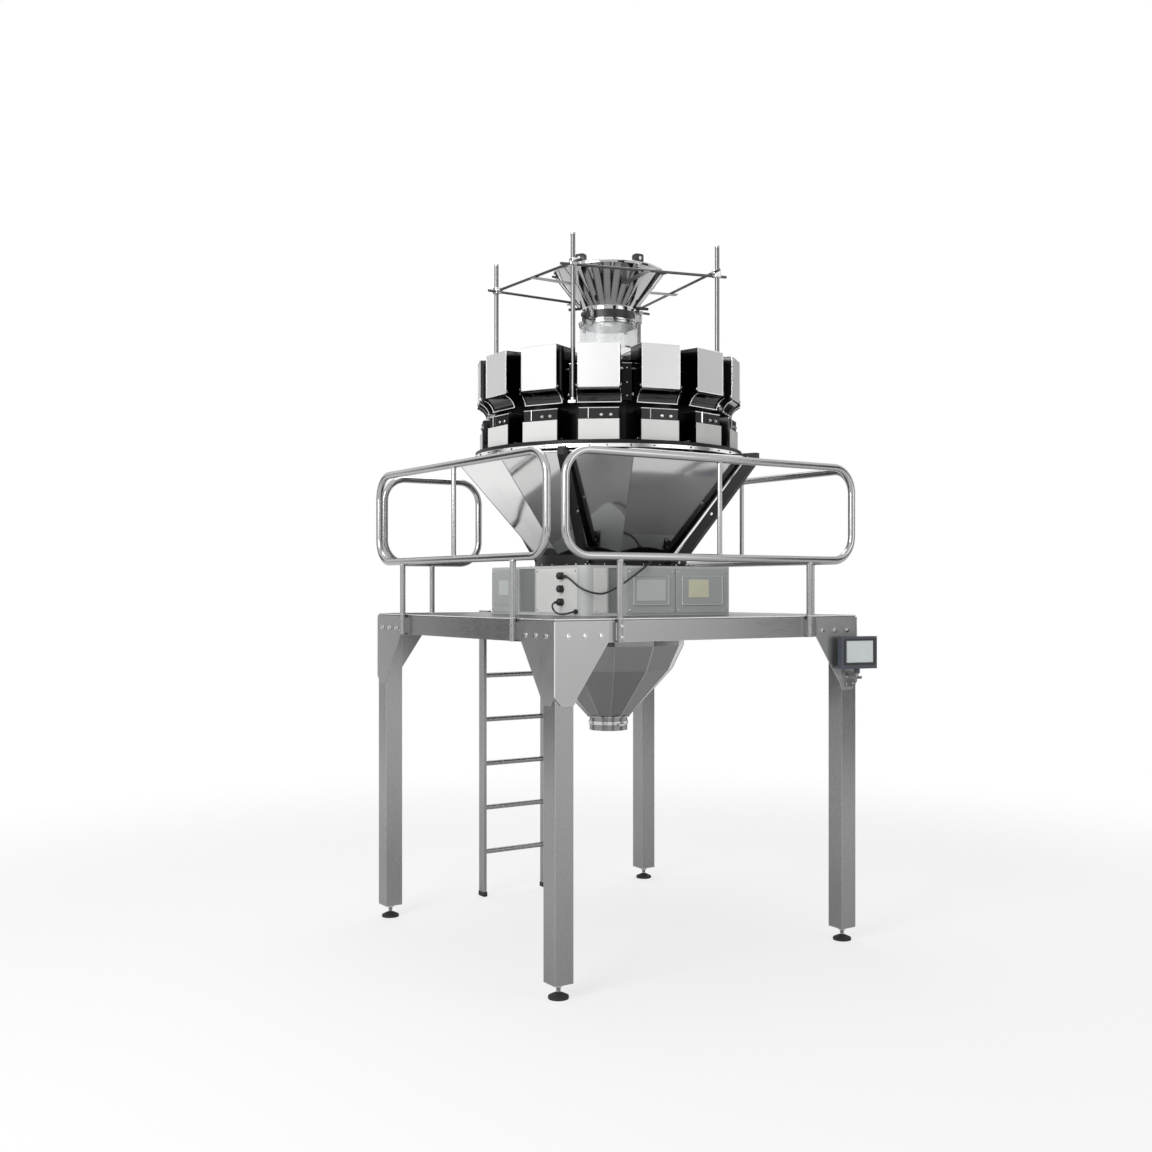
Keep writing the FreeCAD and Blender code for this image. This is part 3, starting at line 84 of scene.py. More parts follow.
class Form:
    """Mesh parts gathered into one piece."""

    def __init__(self):
        self.mesh = bmesh.new()

    def add(self, rings, place, closed=True, caps=True):
        """Skin over rings of points that have equal counts."""
        rows = [[self.mesh.verts.new(place @ Vector(point)) for point in ring] for ring in rings]
        count = len(rows[0])
        for low, high in zip(rows, rows[1:]):
            for i in range(count if closed else count - 1):
                j = (i + 1) % count
                self.mesh.faces.new((low[i], low[j], high[j], high[i]))
        if caps:
            self.mesh.faces.new(list(reversed(rows[0])))
            self.mesh.faces.new(rows[-1])

    def slab(self, outline, low, high, place=Matrix()):
        self.add([[(x, y, z) for x, y in outline] for z in (low, high)], place)

    def block(self, size, place=Matrix(), rise=0.0):
        """A box centred on the place in X and Y, standing on it, with its corners cut by a hair."""
        x, y, z = size[0] / 2, size[1] / 2, size[2]
        cut = min(size) * 0.14
        ring = lambda inset: [(sx * (x - inset), sy * (y - inset)) for sx, sy in
                              ((-1, -1), (1, -1), (1, 1), (-1, 1))]
        steps = ((cut, 0), (0, cut), (0, z - cut), (cut, z))
        self.add([[(px, py, rise + height) for px, py in ring(inset)] for inset, height in steps], place)

    def lathe(self, profile, place=Matrix(), sides=24, caps=True):
        """A profile of (radius, height) turned about local Z."""
        rings = [[(radius * math.cos(2 * math.pi * i / sides), radius * math.sin(2 * math.pi * i / sides), z)
                  for i in range(sides)] for radius, z in profile]
        self.add(rings, place, caps=caps)

    def hoop(self, profile, place=Matrix(), sides=64):
        """A closed profile of (radius, height) turned about local Z into a ring."""
        rings = [[(radius * math.cos(2 * math.pi * i / sides), radius * math.sin(2 * math.pi * i / sides), z)
                  for radius, z in profile] for i in range(sides + 1)]
        rows = [[self.mesh.verts.new(place @ Vector(point)) for point in ring] for ring in rings[:-1]]
        rows.append(rows[0])
        for low, high in zip(rows, rows[1:]):
            for i in range(len(profile)):
                j = (i + 1) % len(profile)
                self.mesh.faces.new((low[i], high[i], high[j], low[j]))

    def bar(self, start, end, radius, sides=12, place=Matrix()):
        start, end = Vector(start), Vector(end)
        length = (end - start).length
        edge = radius * 0.15
        profile = ((radius - edge, 0), (radius, edge), (radius, length - edge), (radius - edge, length))
        self.lathe(profile, place @ facing(start, end - start, (0, 0.02, 1)), sides)

    def wire(self, points, radius, sides=8, place=Matrix()):
        """A bent round bar through the points."""
        points = [Vector(point) for point in points]
        rings = []
        for i, point in enumerate(points):
            before, after = points[max(i - 1, 0)], points[min(i + 1, len(points) - 1)]
            along = (after - before).normalized()
            side = along.cross(Vector((0.03, 0.02, 1))).normalized()
            up = side.cross(along)
            rings.append([point + side * radius * math.cos(2 * math.pi * k / sides)
                          + up * radius * math.sin(2 * math.pi * k / sides) for k in range(sides)])
        self.add(rings, place)

    def bolt(self, place, across=0.013, head=0.007):
        """Hexagon head with a chamfered top on a washer."""
        washer = across * 0.78
        self.lathe(((washer, 0), (washer, 0.0016), (washer * 0.96, 0.0022), (washer * 0.5, 0.0022)), place, 16)
        turn = turned(0.35)
        self.lathe(((across * 0.577, 0.002), (across * 0.577, head * 0.8), (across * 0.47, head)),
                   place @ turn, 6)

    def cap_screw(self, place, radius=0.005, head=0.004):
        """Low round head with a socket."""
        self.lathe(((radius, 0), (radius, head * 0.55), (radius * 0.8, head), (radius * 0.42, head),
                    (radius * 0.4, head * 0.35)), place, 12)

    def weld(self, radius, place, bead=0.0035, sides=24):
        """Bead round a tube."""
        self.hoop([(radius - 0.001 + bead * math.cos(a), bead * math.sin(a))
                   for a in (2 * math.pi * k / 6 for k in range(6))], place, sides)

    def finish(self, name, body, material, slot, bevel=0.0, smooth=35):
        bmesh.ops.recalc_face_normals(self.mesh, faces=self.mesh.faces[:])
        data = bpy.data.meshes.new(name)
        self.mesh.to_mesh(data)
        self.mesh.free()
        piece = bpy.data.objects.new(name, data)
        bpy.context.scene.collection.objects.link(piece)
        data.materials.append(material)
        if bevel:
            edge = piece.modifiers.new("edge", "BEVEL")
            edge.width, edge.segments, edge.limit_method = bevel, 2, "ANGLE"
            edge.angle_limit = math.radians(35)
        data.shade_smooth()
        data.set_sharp_from_angle(angle=math.radians(smooth))
        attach(piece, body)
        return piece


def ring_profile(inner, outer, low, high, edge=0.001):
    return [(inner + edge, low), (outer - edge, low), (outer, low + edge), (outer, high - edge),
            (outer - edge, high), (inner + edge, high), (inner, high - edge), (inner, low + edge)]


# --- finishes -----------------------------------------------------------------------------------

class Level:
    """A number in a material, which can be written in sums."""

    def __init__(self, finish, socket):
        self.finish, self.socket = finish, socket

    def _do(self, operation, *values):
        return self.finish.node("ShaderNodeMath", {"operation": operation}, {i: v for i, v in enumerate(values)})

    def __add__(self, other): return self._do("ADD", self, other)
    def __radd__(self, other): return self._do("ADD", other, self)
    def __sub__(self, other): return self._do("SUBTRACT", self, other)
    def __rsub__(self, other): return self._do("SUBTRACT", other, self)
    def __mul__(self, other): return self._do("MULTIPLY", self, other)
    def __rmul__(self, other): return self._do("MULTIPLY", other, self)
    def __truediv__(self, other): return self._do("DIVIDE", self, other)
    def __pow__(self, other): return self._do("POWER", self, other)
    def __abs__(self): return self._do("ABSOLUTE", self)
    def above(self, other): return self._do("GREATER_THAN", self, other)
    def below(self, other): return self._do("LESS_THAN", self, other)
    def least(self, other): return self._do("MINIMUM", self, other)

    def between(self, low, high, out_low=0.0, out_high=1.0):
        return self.finish.node("ShaderNodeMapRange", {"interpolation_type": "SMOOTHSTEP"}, {
            "Value": self, "From Min": low, "From Max": high, "To Min": out_low, "To Max": out_high})


class Finish:
    """A material under construction."""

    def __init__(self, name):
        self.material = bpy.data.materials.new(name)
        self.material.use_nodes = True
        self.tree = self.material.node_tree
        self.shader = self.tree.nodes["Principled BSDF"]

    def node(self, kind, settings=None, values=None, output=0):
        made = self.tree.nodes.new(kind)
        for key, item in (settings or {}).items():
            if key == "stops":
                ramp = made.color_ramp
                for index, (position, colour) in enumerate(item):
                    stop = ramp.elements[index] if index < 2 else ramp.elements.new(position)
                    stop.position, stop.color = position, colour
            else:
                setattr(made, key, item)
        for key, item in (values or {}).items():
            self.put(made.inputs[key], item)
        return Level(self, made.outputs[output])

    def put(self, socket, item):
        if isinstance(item, Level):
            self.tree.links.new(item.socket, socket)
        elif isinstance(item, (tuple, list)) and socket.type == "RGBA" and len(item) == 3:
            socket.default_value = (*item, 1.0)
        else:
            socket.default_value = item

    def set(self, **values):
        for key, item in values.items():
            self.put(self.shader.inputs[key.replace("_", " ")], item)
        return self

    def place(self):
        return self.node("ShaderNodeTexCoord", output=3)

    def stretched(self, scale):
        return self.node("ShaderNodeMapping", None, {"Vector": self.place(), "Scale": scale})

    def noise(self, scale, detail=3.0, stretch=None, roughness=0.55):
        where = self.stretched(stretch) if stretch else self.place()
        return self.node("ShaderNodeTexNoise", None, {
            "Vector": where, "Scale": scale, "Detail": detail, "Roughness": roughness})

    def mix(self, factor, first, second):
        made = self.tree.nodes.new("ShaderNodeMix")
        made.data_type = "RGBA"
        self.put(made.inputs["Factor"], factor)
        colours = [socket for socket in made.inputs if socket.type == "RGBA"]
        self.put(colours[0], first)
        self.put(colours[1], second)
        return Level(self, [socket for socket in made.outputs if socket.type == "RGBA"][0])

    def axis(self, name):
        """One coordinate of the place on the object."""
        split = self.tree.nodes.new("ShaderNodeSeparateXYZ")
        self.put(split.inputs[0], self.place())
        return Level(self, split.outputs[name])

    def edges(self, width, samples=4):
        """About 1 on edges and near 0 on flats: the mask of the painted edge highlights."""
        rounded = self.node("ShaderNodeBevel", {"samples": samples}, {"Radius": width})
        flat = self.node("ShaderNodeNewGeometry", output=1)
        along = self.node("ShaderNodeVectorMath", {"operation": "DOT_PRODUCT"}, {0: rounded, 1: flat}, output=1)
        return along.between(0.96, 0.72)

    def bump(self, height, strength, distance=0.001, normal=None):
        values = {"Height": height, "Strength": strength, "Distance": distance}
        if normal is not None:
            values["Normal"] = normal
        self.set(Normal=self.node("ShaderNodeBump", None, values))
        return self


def grey(level, warm=0.0):
    return (level + warm, level + warm * 0.4, level - warm)


def brushed_sheet(name, tone, roughness, grain, metallic=1.0, streak=0.10, edge=0.004, edge_highlight_tone=0.92):
    """Ground stainless sheet: fine streaks along the grain, cloudy roughness and a painted highlight on the edges."""
    finish = Finish(name)
    fine = finish.noise(1.0, 2.0, grain)
    wide = finish.noise(1.0, 3.0, tuple(value * 0.16 for value in grain))
    cloud = finish.noise(2.6, 4.0)
    shade = (fine - 0.5) * streak + (wide - 0.5) * streak + (cloud - 0.5) * 0.10
    tinted = finish.mix((shade + 0.5), grey(tone * 0.78, 0.003), grey(min(tone * 1.22, 0.96)))
    bright = finish.edges(edge)
    # Painted highlight: the colour is mixed towards a light tone on the edges.
    finish.set(Base_Color=finish.mix(bright * 0.8, tinted, grey(edge_highlight_tone)), Metallic=metallic,
               Roughness=roughness + (fine - 0.5) * 0.14 + (cloud - 0.5) * 0.12)
    finish.bump(fine + wide * 0.5, 0.06, 0.0004)
    return finish.material


def polished_sheet(name, tone, roughness=0.07, wave=0.0):
    """Mirror-polished stainless, with faint cloud and the slight waves of real sheet."""
    finish = Finish(name)
    cloud = finish.noise(3.0, 4.0)
    scuff = finish.noise(38.0, 3.0, (1, 1, 0.2))
    finish.set(Base_Color=finish.mix(cloud, grey(tone * 0.9), grey(min(tone * 1.08, 0.97))), Metallic=1.0,
               Roughness=roughness + (cloud - 0.5) * 0.06 + (scuff - 0.5) * 0.04)
    if wave:
        finish.bump(finish.noise(2.2, 1.0), 0.5, wave)
    return finish.material


def cone_sheet_painted_reflection(name, painted_dark_low_tone, painted_bright_high_tone):
    """Polished sheet of the collecting cone, with a painted reflection in its colour: darker below and brighter towards
    its upper edge.
    """
    finish = Finish(name)
    cloud = finish.noise(3.0, 4.0)
    soft = finish.noise(1.6, 2.0)
    scuff = finish.noise(38.0, 3.0, (1, 1, 0.2))
    # Painted reflection: the colour runs from a dark tone low on the cone to a bright tone at its upper edge.
    height = (finish.axis("Z") + (soft - 0.5) * 0.25).between(2.08, 2.46)
    tone = finish.mix(height, grey(painted_dark_low_tone), grey(painted_bright_high_tone, 0.004))
    finish.set(Base_Color=finish.mix(cloud * 0.25, tone, grey(0.5)), Metallic=1.0,
               Roughness=0.09 + (cloud - 0.5) * 0.06 + (scuff - 0.5) * 0.04)
    finish.bump(finish.noise(2.2, 1.0), 0.5, 0.004)
    return finish.material


def hopper_sheet_finish(name, face_tone, painted_shade_side_tone):
    """Pale bead-blasted front walls and polished side walls, as told by the way a wall faces. The near-black colour of
    the side walls is painted shade and painted reflection, and the edges carry a painted highlight.
    """
    finish = Finish(name)
    flat = finish.node("ShaderNodeNewGeometry", output=1)
    outward = finish.node("ShaderNodeVectorMath", {"operation": "MULTIPLY"}, {0: finish.place(), 1: (1, 1, 0)})
    outward = finish.node("ShaderNodeVectorMath", {"operation": "NORMALIZE"}, {0: outward})
    front = finish.node("ShaderNodeVectorMath", {"operation": "DOT_PRODUCT"}, {0: flat, 1: outward},
                        output=1).between(0.70, 0.90)
    speck = finish.noise(900.0, 2.0)
    cloud = finish.noise(3.2, 3.0)
    face = finish.mix(cloud, grey(face_tone * 0.93, 0.002), grey(min(face_tone * 1.05, 0.97)))
    # Painted shade and painted reflection: the side walls get a near-black colour.
    side = finish.mix(cloud, grey(painted_shade_side_tone * 0.6), grey(painted_shade_side_tone * 1.4))
    body = finish.mix(front, side, face)
    # Painted highlight: the edges are mixed towards near-white.
    finish.set(Base_Color=finish.mix(finish.edges(0.003), body, grey(0.92)),
               Metallic=1.0 - front * 0.55, Roughness=0.14 + front * 0.26 + (speck - 0.5) * 0.08)
    finish.bump(speck, 0.06, 0.0002)
    return finish.material


def painted(name, colour, roughness=0.4, edge=0.25, peel=0.05, sheen=0.5):
    finish = Finish(name)
    finish.set(Specular_IOR_Level=sheen)
    cloud = finish.noise(4.0, 4.0)
    orange = finish.noise(420.0, 2.0)
    darker = tuple(part * 0.88 for part in colour)
    lighter = tuple(min(part * 1.08 + 0.003, 0.97) for part in colour)
    # Painted highlight: a lighter copy of the paint colour is laid on the edges.
    painted_edge_highlight = tuple(min(part + 0.2, 0.95) for part in colour)
    finish.set(Base_Color=finish.mix(finish.edges(0.003) * edge, finish.mix(cloud, darker, lighter), painted_edge_highlight),
               Roughness=roughness + (cloud - 0.5) * 0.14)
    finish.bump(orange, peel, 0.0003)
    return finish.material


def moulded(name, colour, roughness=0.45, scale=260.0):
    """Moulded plastic or rubber with a fine grained skin."""
    finish = Finish(name)
    grain = finish.noise(scale, 3.0)
    cloud = finish.noise(6.0, 3.0)
    lighter = tuple(min(part * 1.5 + 0.012, 0.95) for part in colour)
    finish.set(Base_Color=finish.mix(cloud, colour, lighter), Roughness=roughness + (grain - 0.5) * 0.25)
    finish.bump(grain, 0.12, 0.0003)
    return finish.material


def clear_sheet(name):
    finish = Finish(name)
    haze = finish.noise(7.0, 4.0, (1, 1, 0.25))
    finish.set(Base_Color=(0.93, 0.96, 0.97), Roughness=haze.between(0.4, 0.8, 0.04, 0.22),
               Alpha=haze.between(0.3, 0.8, 0.16, 0.34))
    return finish.material


def tread_plate(name):
    """Deck sheet with raised diamond treads, in a dark tone that is painted shade."""
    finish = Finish(name)
    x, y = finish.axis("X"), finish.axis("Y")
    wave = lambda value, pitch: finish.node("ShaderNodeMath", {"operation": "SINE"}, {0: value * (2 * math.pi / pitch)})
    lozenge = (wave(x + y, 0.036) * wave(x - y, 0.036)).between(0.45, 0.7)
    cloud = finish.noise(3.0, 5.0)
    wear = finish.noise(60.0, 3.0)
    # Painted shade: the sheet is kept dark, with the tread lozenges lighter as its pattern.
    finish.set(Base_Color=finish.mix(lozenge * 0.5 + cloud * 0.4, grey(0.16), grey(0.42)), Metallic=1.0,
               Roughness=0.36 + (cloud - 0.5) * 0.2 + (wear - 0.5) * 0.08)
    finish.bump(lozenge, 0.5, 0.0015)
    return finish.material


def display_glass(name, colour):
    finish = Finish(name)
    smear = finish.noise(14.0, 4.0, (1, 1, 0.6))
    finish.set(Base_Color=finish.mix(smear, tuple(part * 0.85 for part in colour), colour),
               Roughness=smear.between(0.3, 0.8, 0.05, 0.16), Coat_Weight=0.4)
    return finish.material


beam_steel = brushed_sheet("beam_steel", 0.36, 0.30, (14, 14, 260))
leg_steel = brushed_sheet("leg_steel", 0.34, 0.28, (220, 220, 9))
gusset_steel = brushed_sheet("gusset_steel", 0.42, 0.34, (200, 200, 10), edge_highlight_tone=0.95)
funnel_steel = brushed_sheet("funnel_steel", 0.26, 0.22, (120, 120, 8), streak=0.14)
tube_steel = polished_sheet("tube_steel", 0.44, 0.19)
cone_steel_painted_reflection = cone_sheet_painted_reflection("cone_steel_painted_reflection", 0.24, 0.78)
bowl_steel = polished_sheet("bowl_steel", 0.46, 0.08, 0.002)
# The stainless gates get a near-black colour: painted dark reflection.
gate_steel_painted_reflection = polished_sheet("gate_steel_painted_reflection", 0.055, 0.12)
# Hems, lips, edge bars and bands get a far brighter tone than the sheets they edge: painted highlight.
lip_steel_painted_highlight = polished_sheet("lip_steel_painted_highlight", 0.90, 0.25)
hopper_sheet = hopper_sheet_finish("hopper_sheet", 0.74, 0.05)
# The stainless weigh hopper shells get a near-black colour: painted shade.
weigh_sheet_painted_shade = polished_sheet("weigh_sheet_painted_shade", 0.035, 0.24)
post_steel = brushed_sheet("post_steel", 0.20, 0.30, (260, 260, 8), edge_highlight_tone=0.5)
rod_steel = brushed_sheet("rod_steel", 0.11, 0.30, (180, 180, 180), edge_highlight_tone=0.4)
bright_sheet = painted("bright_sheet", (0.82, 0.82, 0.80), 0.34, 0.05)
panel_sheet = painted("panel_sheet", (0.80, 0.80, 0.78), 0.38)
fastener_steel = polished_sheet("fastener_steel", 0.60, 0.22)
black_frame = painted("black_frame", (0.010, 0.010, 0.011), 0.42, 0.10, sheen=0.22)
# Drive housings, drum and brackets get a near-black colour so the gaps between the heads look black: painted shade.
drive_paint_painted_shade = painted("drive_paint_painted_shade", (0.009, 0.009, 0.010), 0.36, 0.12, sheen=0.20)
cabinet_paint = painted("cabinet_paint", (0.60, 0.62, 0.62), 0.33, 0.35)
# Dark grey for the cabinet's recesses: painted shade.
recess_painted_shade = painted("recess_painted_shade", (0.24, 0.25, 0.25), 0.42, 0.1)
cover_paint = painted("cover_paint", (0.50, 0.52, 0.52), 0.36, 0.35)
screen_case = moulded("screen_case", (0.045, 0.055, 0.07), 0.4)
black_mould = moulded("black_mould", (0.012, 0.012, 0.013), 0.4)
foot_rubber = moulded("foot_rubber", (0.014, 0.014, 0.014), 0.7, 150.0)
cable_jacket = moulded("cable_jacket", (0.013, 0.013, 0.014), 0.5, 500.0)
clear_acrylic = clear_sheet("clear_acrylic")
deck_tread_painted_shade = tread_plate("deck_tread_painted_shade")
pale_glass = display_glass("pale_glass", (0.74, 0.80, 0.82))
label_grey = painted("label_grey", (0.68, 0.72, 0.71), 0.3, 0.1)
label_cream = painted("label_cream", (0.84, 0.83, 0.62), 0.3, 0.1)

NODE_FINISHES = {
    "platform_legs": leg_steel, "levelling_feet": foot_rubber, "gusset_plates": gusset_steel,
    "edge_beams": beam_steel, "deck_joists": beam_steel, "deck_plate": deck_tread_painted_shade,
    "guard_rail_front": tube_steel, "guard_rail_left": tube_steel, "guard_rail_right": tube_steel,
    "guard_rail_back": tube_steel, "access_ladder": leg_steel, "base_cabinet": cabinet_paint,
    "cabinet_covers": cover_paint, "cable_glands": black_mould, "collar_gland": black_mould,
    "collar_ring": black_frame, "support_arms": black_frame, "collecting_cone": cone_steel_painted_reflection,
    "discharge_funnel": funnel_steel, "discharge_spout": funnel_steel, "ring_frame": black_frame,
    "drum_body": drive_paint_painted_shade, "drive_modules": drive_paint_painted_shade, "hopper_brackets": drive_paint_painted_shade,
    "feed_hoppers": hopper_sheet, "weigh_hoppers": weigh_sheet_painted_shade, "feeder_pans": tube_steel,
    "dispersion_cone": bowl_steel, "clear_tube": clear_acrylic, "infeed_neck": bowl_steel,
    "infeed_funnel": bowl_steel, "support_posts": post_steel, "cross_rods": rod_steel,
    "funnel_brackets": post_steel, "level_sensors": black_mould, "screen_bracket": leg_steel,
    "screen_housing": screen_case,
}


def dress_nodes():
    for name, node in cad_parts.items():
        if name in ("signal_cable", "power_lead"):
            continue
        material = gate_steel_painted_reflection if name.startswith("feed_gate") else NODE_FINISHES[name]
        node.data.materials.clear()
        node.data.materials.append(material)


# --- cables -------------------------------------------------------------------------------------

SIGNAL_CABLE = (
    (-503, -315, 1945), (-504, -345, 1943), (-508, -392, 1929), (-513, -440, 1907), (-511, -482, 1886),
    (-490, -514, 1868), (-450, -527, 1856), (-395, -526, 1852),
    (-330, -516, 1872), (-270, -513, 1901), (-210, -512, 1935), (-152, -510, 1971), (-98, -500, 2003),
    (-54, -476, 2024), (-28, -440, 2032), (-18, -412, 2032),
)
POWER_LEAD = (
    (-518, -285, 1810), (-538, -285, 1807), (-556, -296, 1793), (-560, -312, 1772), (-556, -338, 1754),
    (-548, -372, 1748), (-536, -400, 1751), (-515, -418, 1760), (-500, -420, 1763),
)


def cable(name, route, diameter):
    """A free cable along its route, between two glands."""
    curve = bpy.data.curves.new(name, "CURVE")
    curve.dimensions = "3D"
    curve.bevel_depth, curve.bevel_resolution, curve.resolution_u = diameter / 2, 4, 10
    curve.use_fill_caps = True
    spline = curve.splines.new("NURBS")
    spline.points.add(len(route) - 1)
    for point, place in zip(spline.points, route):
        point.co = (*(value / 1000 for value in place), 1.0)
    spline.order_u = 3
    spline.use_endpoint_u = True
    line = bpy.data.objects.new(name + "_jacket", curve)
    bpy.context.scene.collection.objects.link(line)
    curve.materials.append(cable_jacket)
    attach(line, "machine")
    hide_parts(name)


# --- platform -----------------------------------------------------------------------------------

def platform_fasteners():
    """Bolts through the gusset wings and the rail pads."""
    bolts = Form()
    for side in on_four_sides():
        for sign in (-1, 1):
            for along in (0.067, 0.158, 0.248):
                place = (sign * (DECK_HALF - along), -GUSSET_FACE, DECK_TOP - 0.080)
                bolts.bolt(side @ facing(place, (0, -1, 0)), 0.019, 0.010)
    for side, posts in zip(on_four_sides(), ((-0.6, 0.6),) * 4):
        for x in posts:
            for height in (1.652, 1.704):
                bolts.bolt(side @ facing((x, -0.981, height), (0, -1, 0)), 0.010, 0.005)
    bolts.finish("platform_bolts", "machine", fastener_steel, "satin_steel")


def platform_welds():
    beads = Form()
    for side in on_four_sides():
        for x in (-0.6, 0.6):
            beads.weld(0.015, side @ moved(x, -0.966, DECK_TOP + 0.290 - 0.0185), 0.004)
            beads.weld(0.015, side @ moved(x, -0.966, DECK_TOP - 0.001), 0.003)
    for index in (0, 1, 3):
        side = on_four_sides()[index]
        for height in (DECK_TOP + 0.290 + 0.0185, DECK_TOP + 0.778 - 0.0185):
            beads.weld(0.0125, side @ moved(0, -0.966, height), 0.0035)
    beads.finish("rail_welds", "machine", fastener_steel, "polished_steel")


def deck_edge():
    """Folded edge round the deck plate, and the fold along each leg corner of the gussets, both painted bright as a
    highlight.
    """
    edge = Form()
    corners = [(-0.9505, -0.9505), (0.9505, -0.9505), (0.9505, 0.9505), (-0.9505, 0.9505)]
    for (x1, y1), (x2, y2) in zip(corners, corners[1:] + corners[:1]):
        edge.bar((x1, y1, 1.7365), (x2, y2, 1.7365), 0.0030, 8)
        edge.bar((x1 * 1.0055, y1 * 1.0055, 1.385), (x1 * 1.0055, y1 * 1.0055, 1.726), 0.0026, 8)
    edge.finish("deck_edge", "machine", lip_steel_painted_highlight, "satin_steel")


def leg_feet():
    """Threaded studs, lock nuts and end plates of the legs."""
    studs, rubber = Form(), Form()
    for corner in on_four_sides():
        place = corner @ moved(0.9, 0.9, 0)
        thread = []
        for turn_index in range(7):
            height = 0.029 + turn_index * 0.0033
            thread += [(0.0100, height), (0.0113, height + 0.0016)]
        thread.append((0.0100, 0.0535))
        studs.lathe(thread, place, 20)
        studs.lathe(((0.0195, 0.0535), (0.0205, 0.0550), (0.0205, 0.0660), (0.0190, 0.0695)), place, 6)
        studs.hoop(ring_profile(0.030, 0.0502, 0.0705, 0.0735), place, 4)
        rubber.hoop(ring_profile(0.040, 0.0488, 0.0035, 0.0075, 0.0015), place, 40)
    studs.finish("foot_studs", "machine", fastener_steel, "satin_steel")
    rubber.finish("foot_rims", "machine", foot_rubber, "black_rubber")


def ladder_grips():
    """Ribbed sleeves on the rungs and rubber shoes under the stiles."""
    sleeves, shoes = Form(), Form()
    for index in range(6):
        for step in range(9):
            x = -0.17 + step * 0.0425
            sleeves.weld(0.0152, facing((x, 1.035, 0.27 * (index + 1)), (1, 0, 0)), 0.0022, 16)
    for sign in (-1, 1):
        x = sign * 0.22
        shoes.block((0.026, 0.066, 0.030), moved(x, 1.0345, 0))
    sleeves.finish("rung_ribs", "machine", leg_steel, "satin_steel")
    shoes.finish("stile_shoes", "machine", foot_rubber, "black_rubber")


# --- base cabinet -------------------------------------------------------------------------------

def cover_details():
    """Screws, seams and bare label plates of the cabinet's covers."""
    screws, grey_labels, cream_labels = Form(), Form(), Form()
    face = CABINET_HALF + 0.007
    covers = (
        (0, -0.225, 0.085), (0, 0.092, 0.448), (3, -0.440, -0.165), (1, -0.430, 0.430), (2, -0.430, 0.430),
    )
    for side_index, start, end in covers:
        side = turned(side_index * math.pi / 2)
        wide = end - start > 0.5
        columns = (start + 0.018, (start + end) / 2, end - 0.018) if wide else (start + 0.018, end - 0.018)
        for x in columns:
            for height in (1.768, 1.967):
                screws.cap_screw(side @ facing((x, -face, height), (0, -1, 0)), 0.006, 0.004)
    label = lambda form, x, z, width, height: form.block(
        (width, height, 0.002), facing((x, -CABINET_HALF - 0.0108, z), (0, -1, 0)))
    label(grey_labels, -0.07, 1.872, 0.185, 0.110)
    label(cream_labels, 0.244, 1.880, 0.135, 0.095)
    sheets, trims, recess_shades = Form(), Form(), Form()
    left = turned(-math.pi / 2)
    # Dark grey strips laid in the recesses: painted shade.
    for side, start, end in ((left, -0.153, 0.010), (Matrix(), -0.333, -0.252)):
        middle = (start + end) / 2
        recess_shades.block((end - start, 0.230, 0.0015), side @ facing((middle, -CABINET_HALF + 0.0082, 1.869), (0, -1, 0)))
    recess_shades.finish("recess_shade_strips", "machine", recess_painted_shade, "grey_paint")
    for side, start, end in ((left, 0.030, 0.425), (Matrix(), -0.425, -0.345)):
        middle, width = (start + end) / 2, end - start
        sheets.block((width, 0.226, 0.0025), side @ facing((middle, -CABINET_HALF, 1.869), (0, -1, 0)))
        for x in (start + 0.012, end - 0.012):
            for height in (1.768, 1.970):
                screws.cap_screw(side @ facing((x, -CABINET_HALF - 0.0025, height), (0, -1, 0)), 0.0045, 0.003)
    grey_labels.block((0.105, 0.080, 0.002), left @ facing((-0.30, -CABINET_HALF - 0.0108, 1.885), (0, -1, 0)))
    screws.finish("cover_screws", "machine", fastener_steel, "satin_steel")
    grey_labels.finish("grey_label_plates", "machine", label_grey, "grey_paint", 0.0006)
    cream_labels.finish("cream_label_plate", "machine", label_cream, "grey_paint", 0.0006)
    sheets.finish("side_sheets", "machine", bright_sheet, "bead_blasted_steel", 0.0006)
    for start, end in ((-0.225, 0.085), (0.092, 0.448)):
        low, high, depth = 1.794, 1.944, CABINET_HALF + 0.0112
        ring = [(start + 0.042, low), (end - 0.042, low), (end - 0.042, high), (start + 0.042, high)]
        for (x1, z1), (x2, z2) in zip(ring, ring[1:] + ring[:1]):
            trims.bar((x1, -depth, z1), (x2, -depth, z2), 0.0016, 6)
    trims.finish("cover_trims", "machine", fastener_steel, "satin_steel")


def gland_details():
    """Ribbed nuts and domed caps of the cable glands, and the reliefs where the cables leave."""
    ribs = Form()
    for height in (1.945, 1.878, 1.810):
        place = facing((-CABINET_HALF, -0.285, height), (-1, 0, 0))
        ribs.lathe(((0.0215, 0), (0.0215, 0.009), (0.0195, 0.011)), place, 6)
        ribs.lathe(((0.0165, 0.017), (0.0175, 0.019), (0.0165, 0.029), (0.0110, 0.033)), place, 20)
        for index in range(16):
            angle = 2 * math.pi * index / 16
            ribs.block((0.0022, 0.0020, 0.010), place @ turned(angle) @ moved(0.0175, 0, 0), 0.018)
    relief = ((0.0085, 0), (0.0080, 0.010), (0.0068, 0.022), (0.0058, 0.034))
    ribs.lathe(relief, facing((-0.503, -0.3135, 1.945), (0, -1, -0.06)), 16)
    ribs.lathe(((0.0080, 0), (0.0070, 0.012), (0.0052, 0.020)),
               facing((-0.5165, -0.285, 1.810), (-1, 0, -0.15)), 16)
    ribs.lathe(((0.0145, 0), (0.0145, 0.006), (0.0120, 0.010), (0.0080, 0.014)),
               facing((-0.018, -0.401, 2.032), (0, -1, 0)), 20)
    ribs.finish("gland_ribs", "machine", black_mould, "black_plastic")


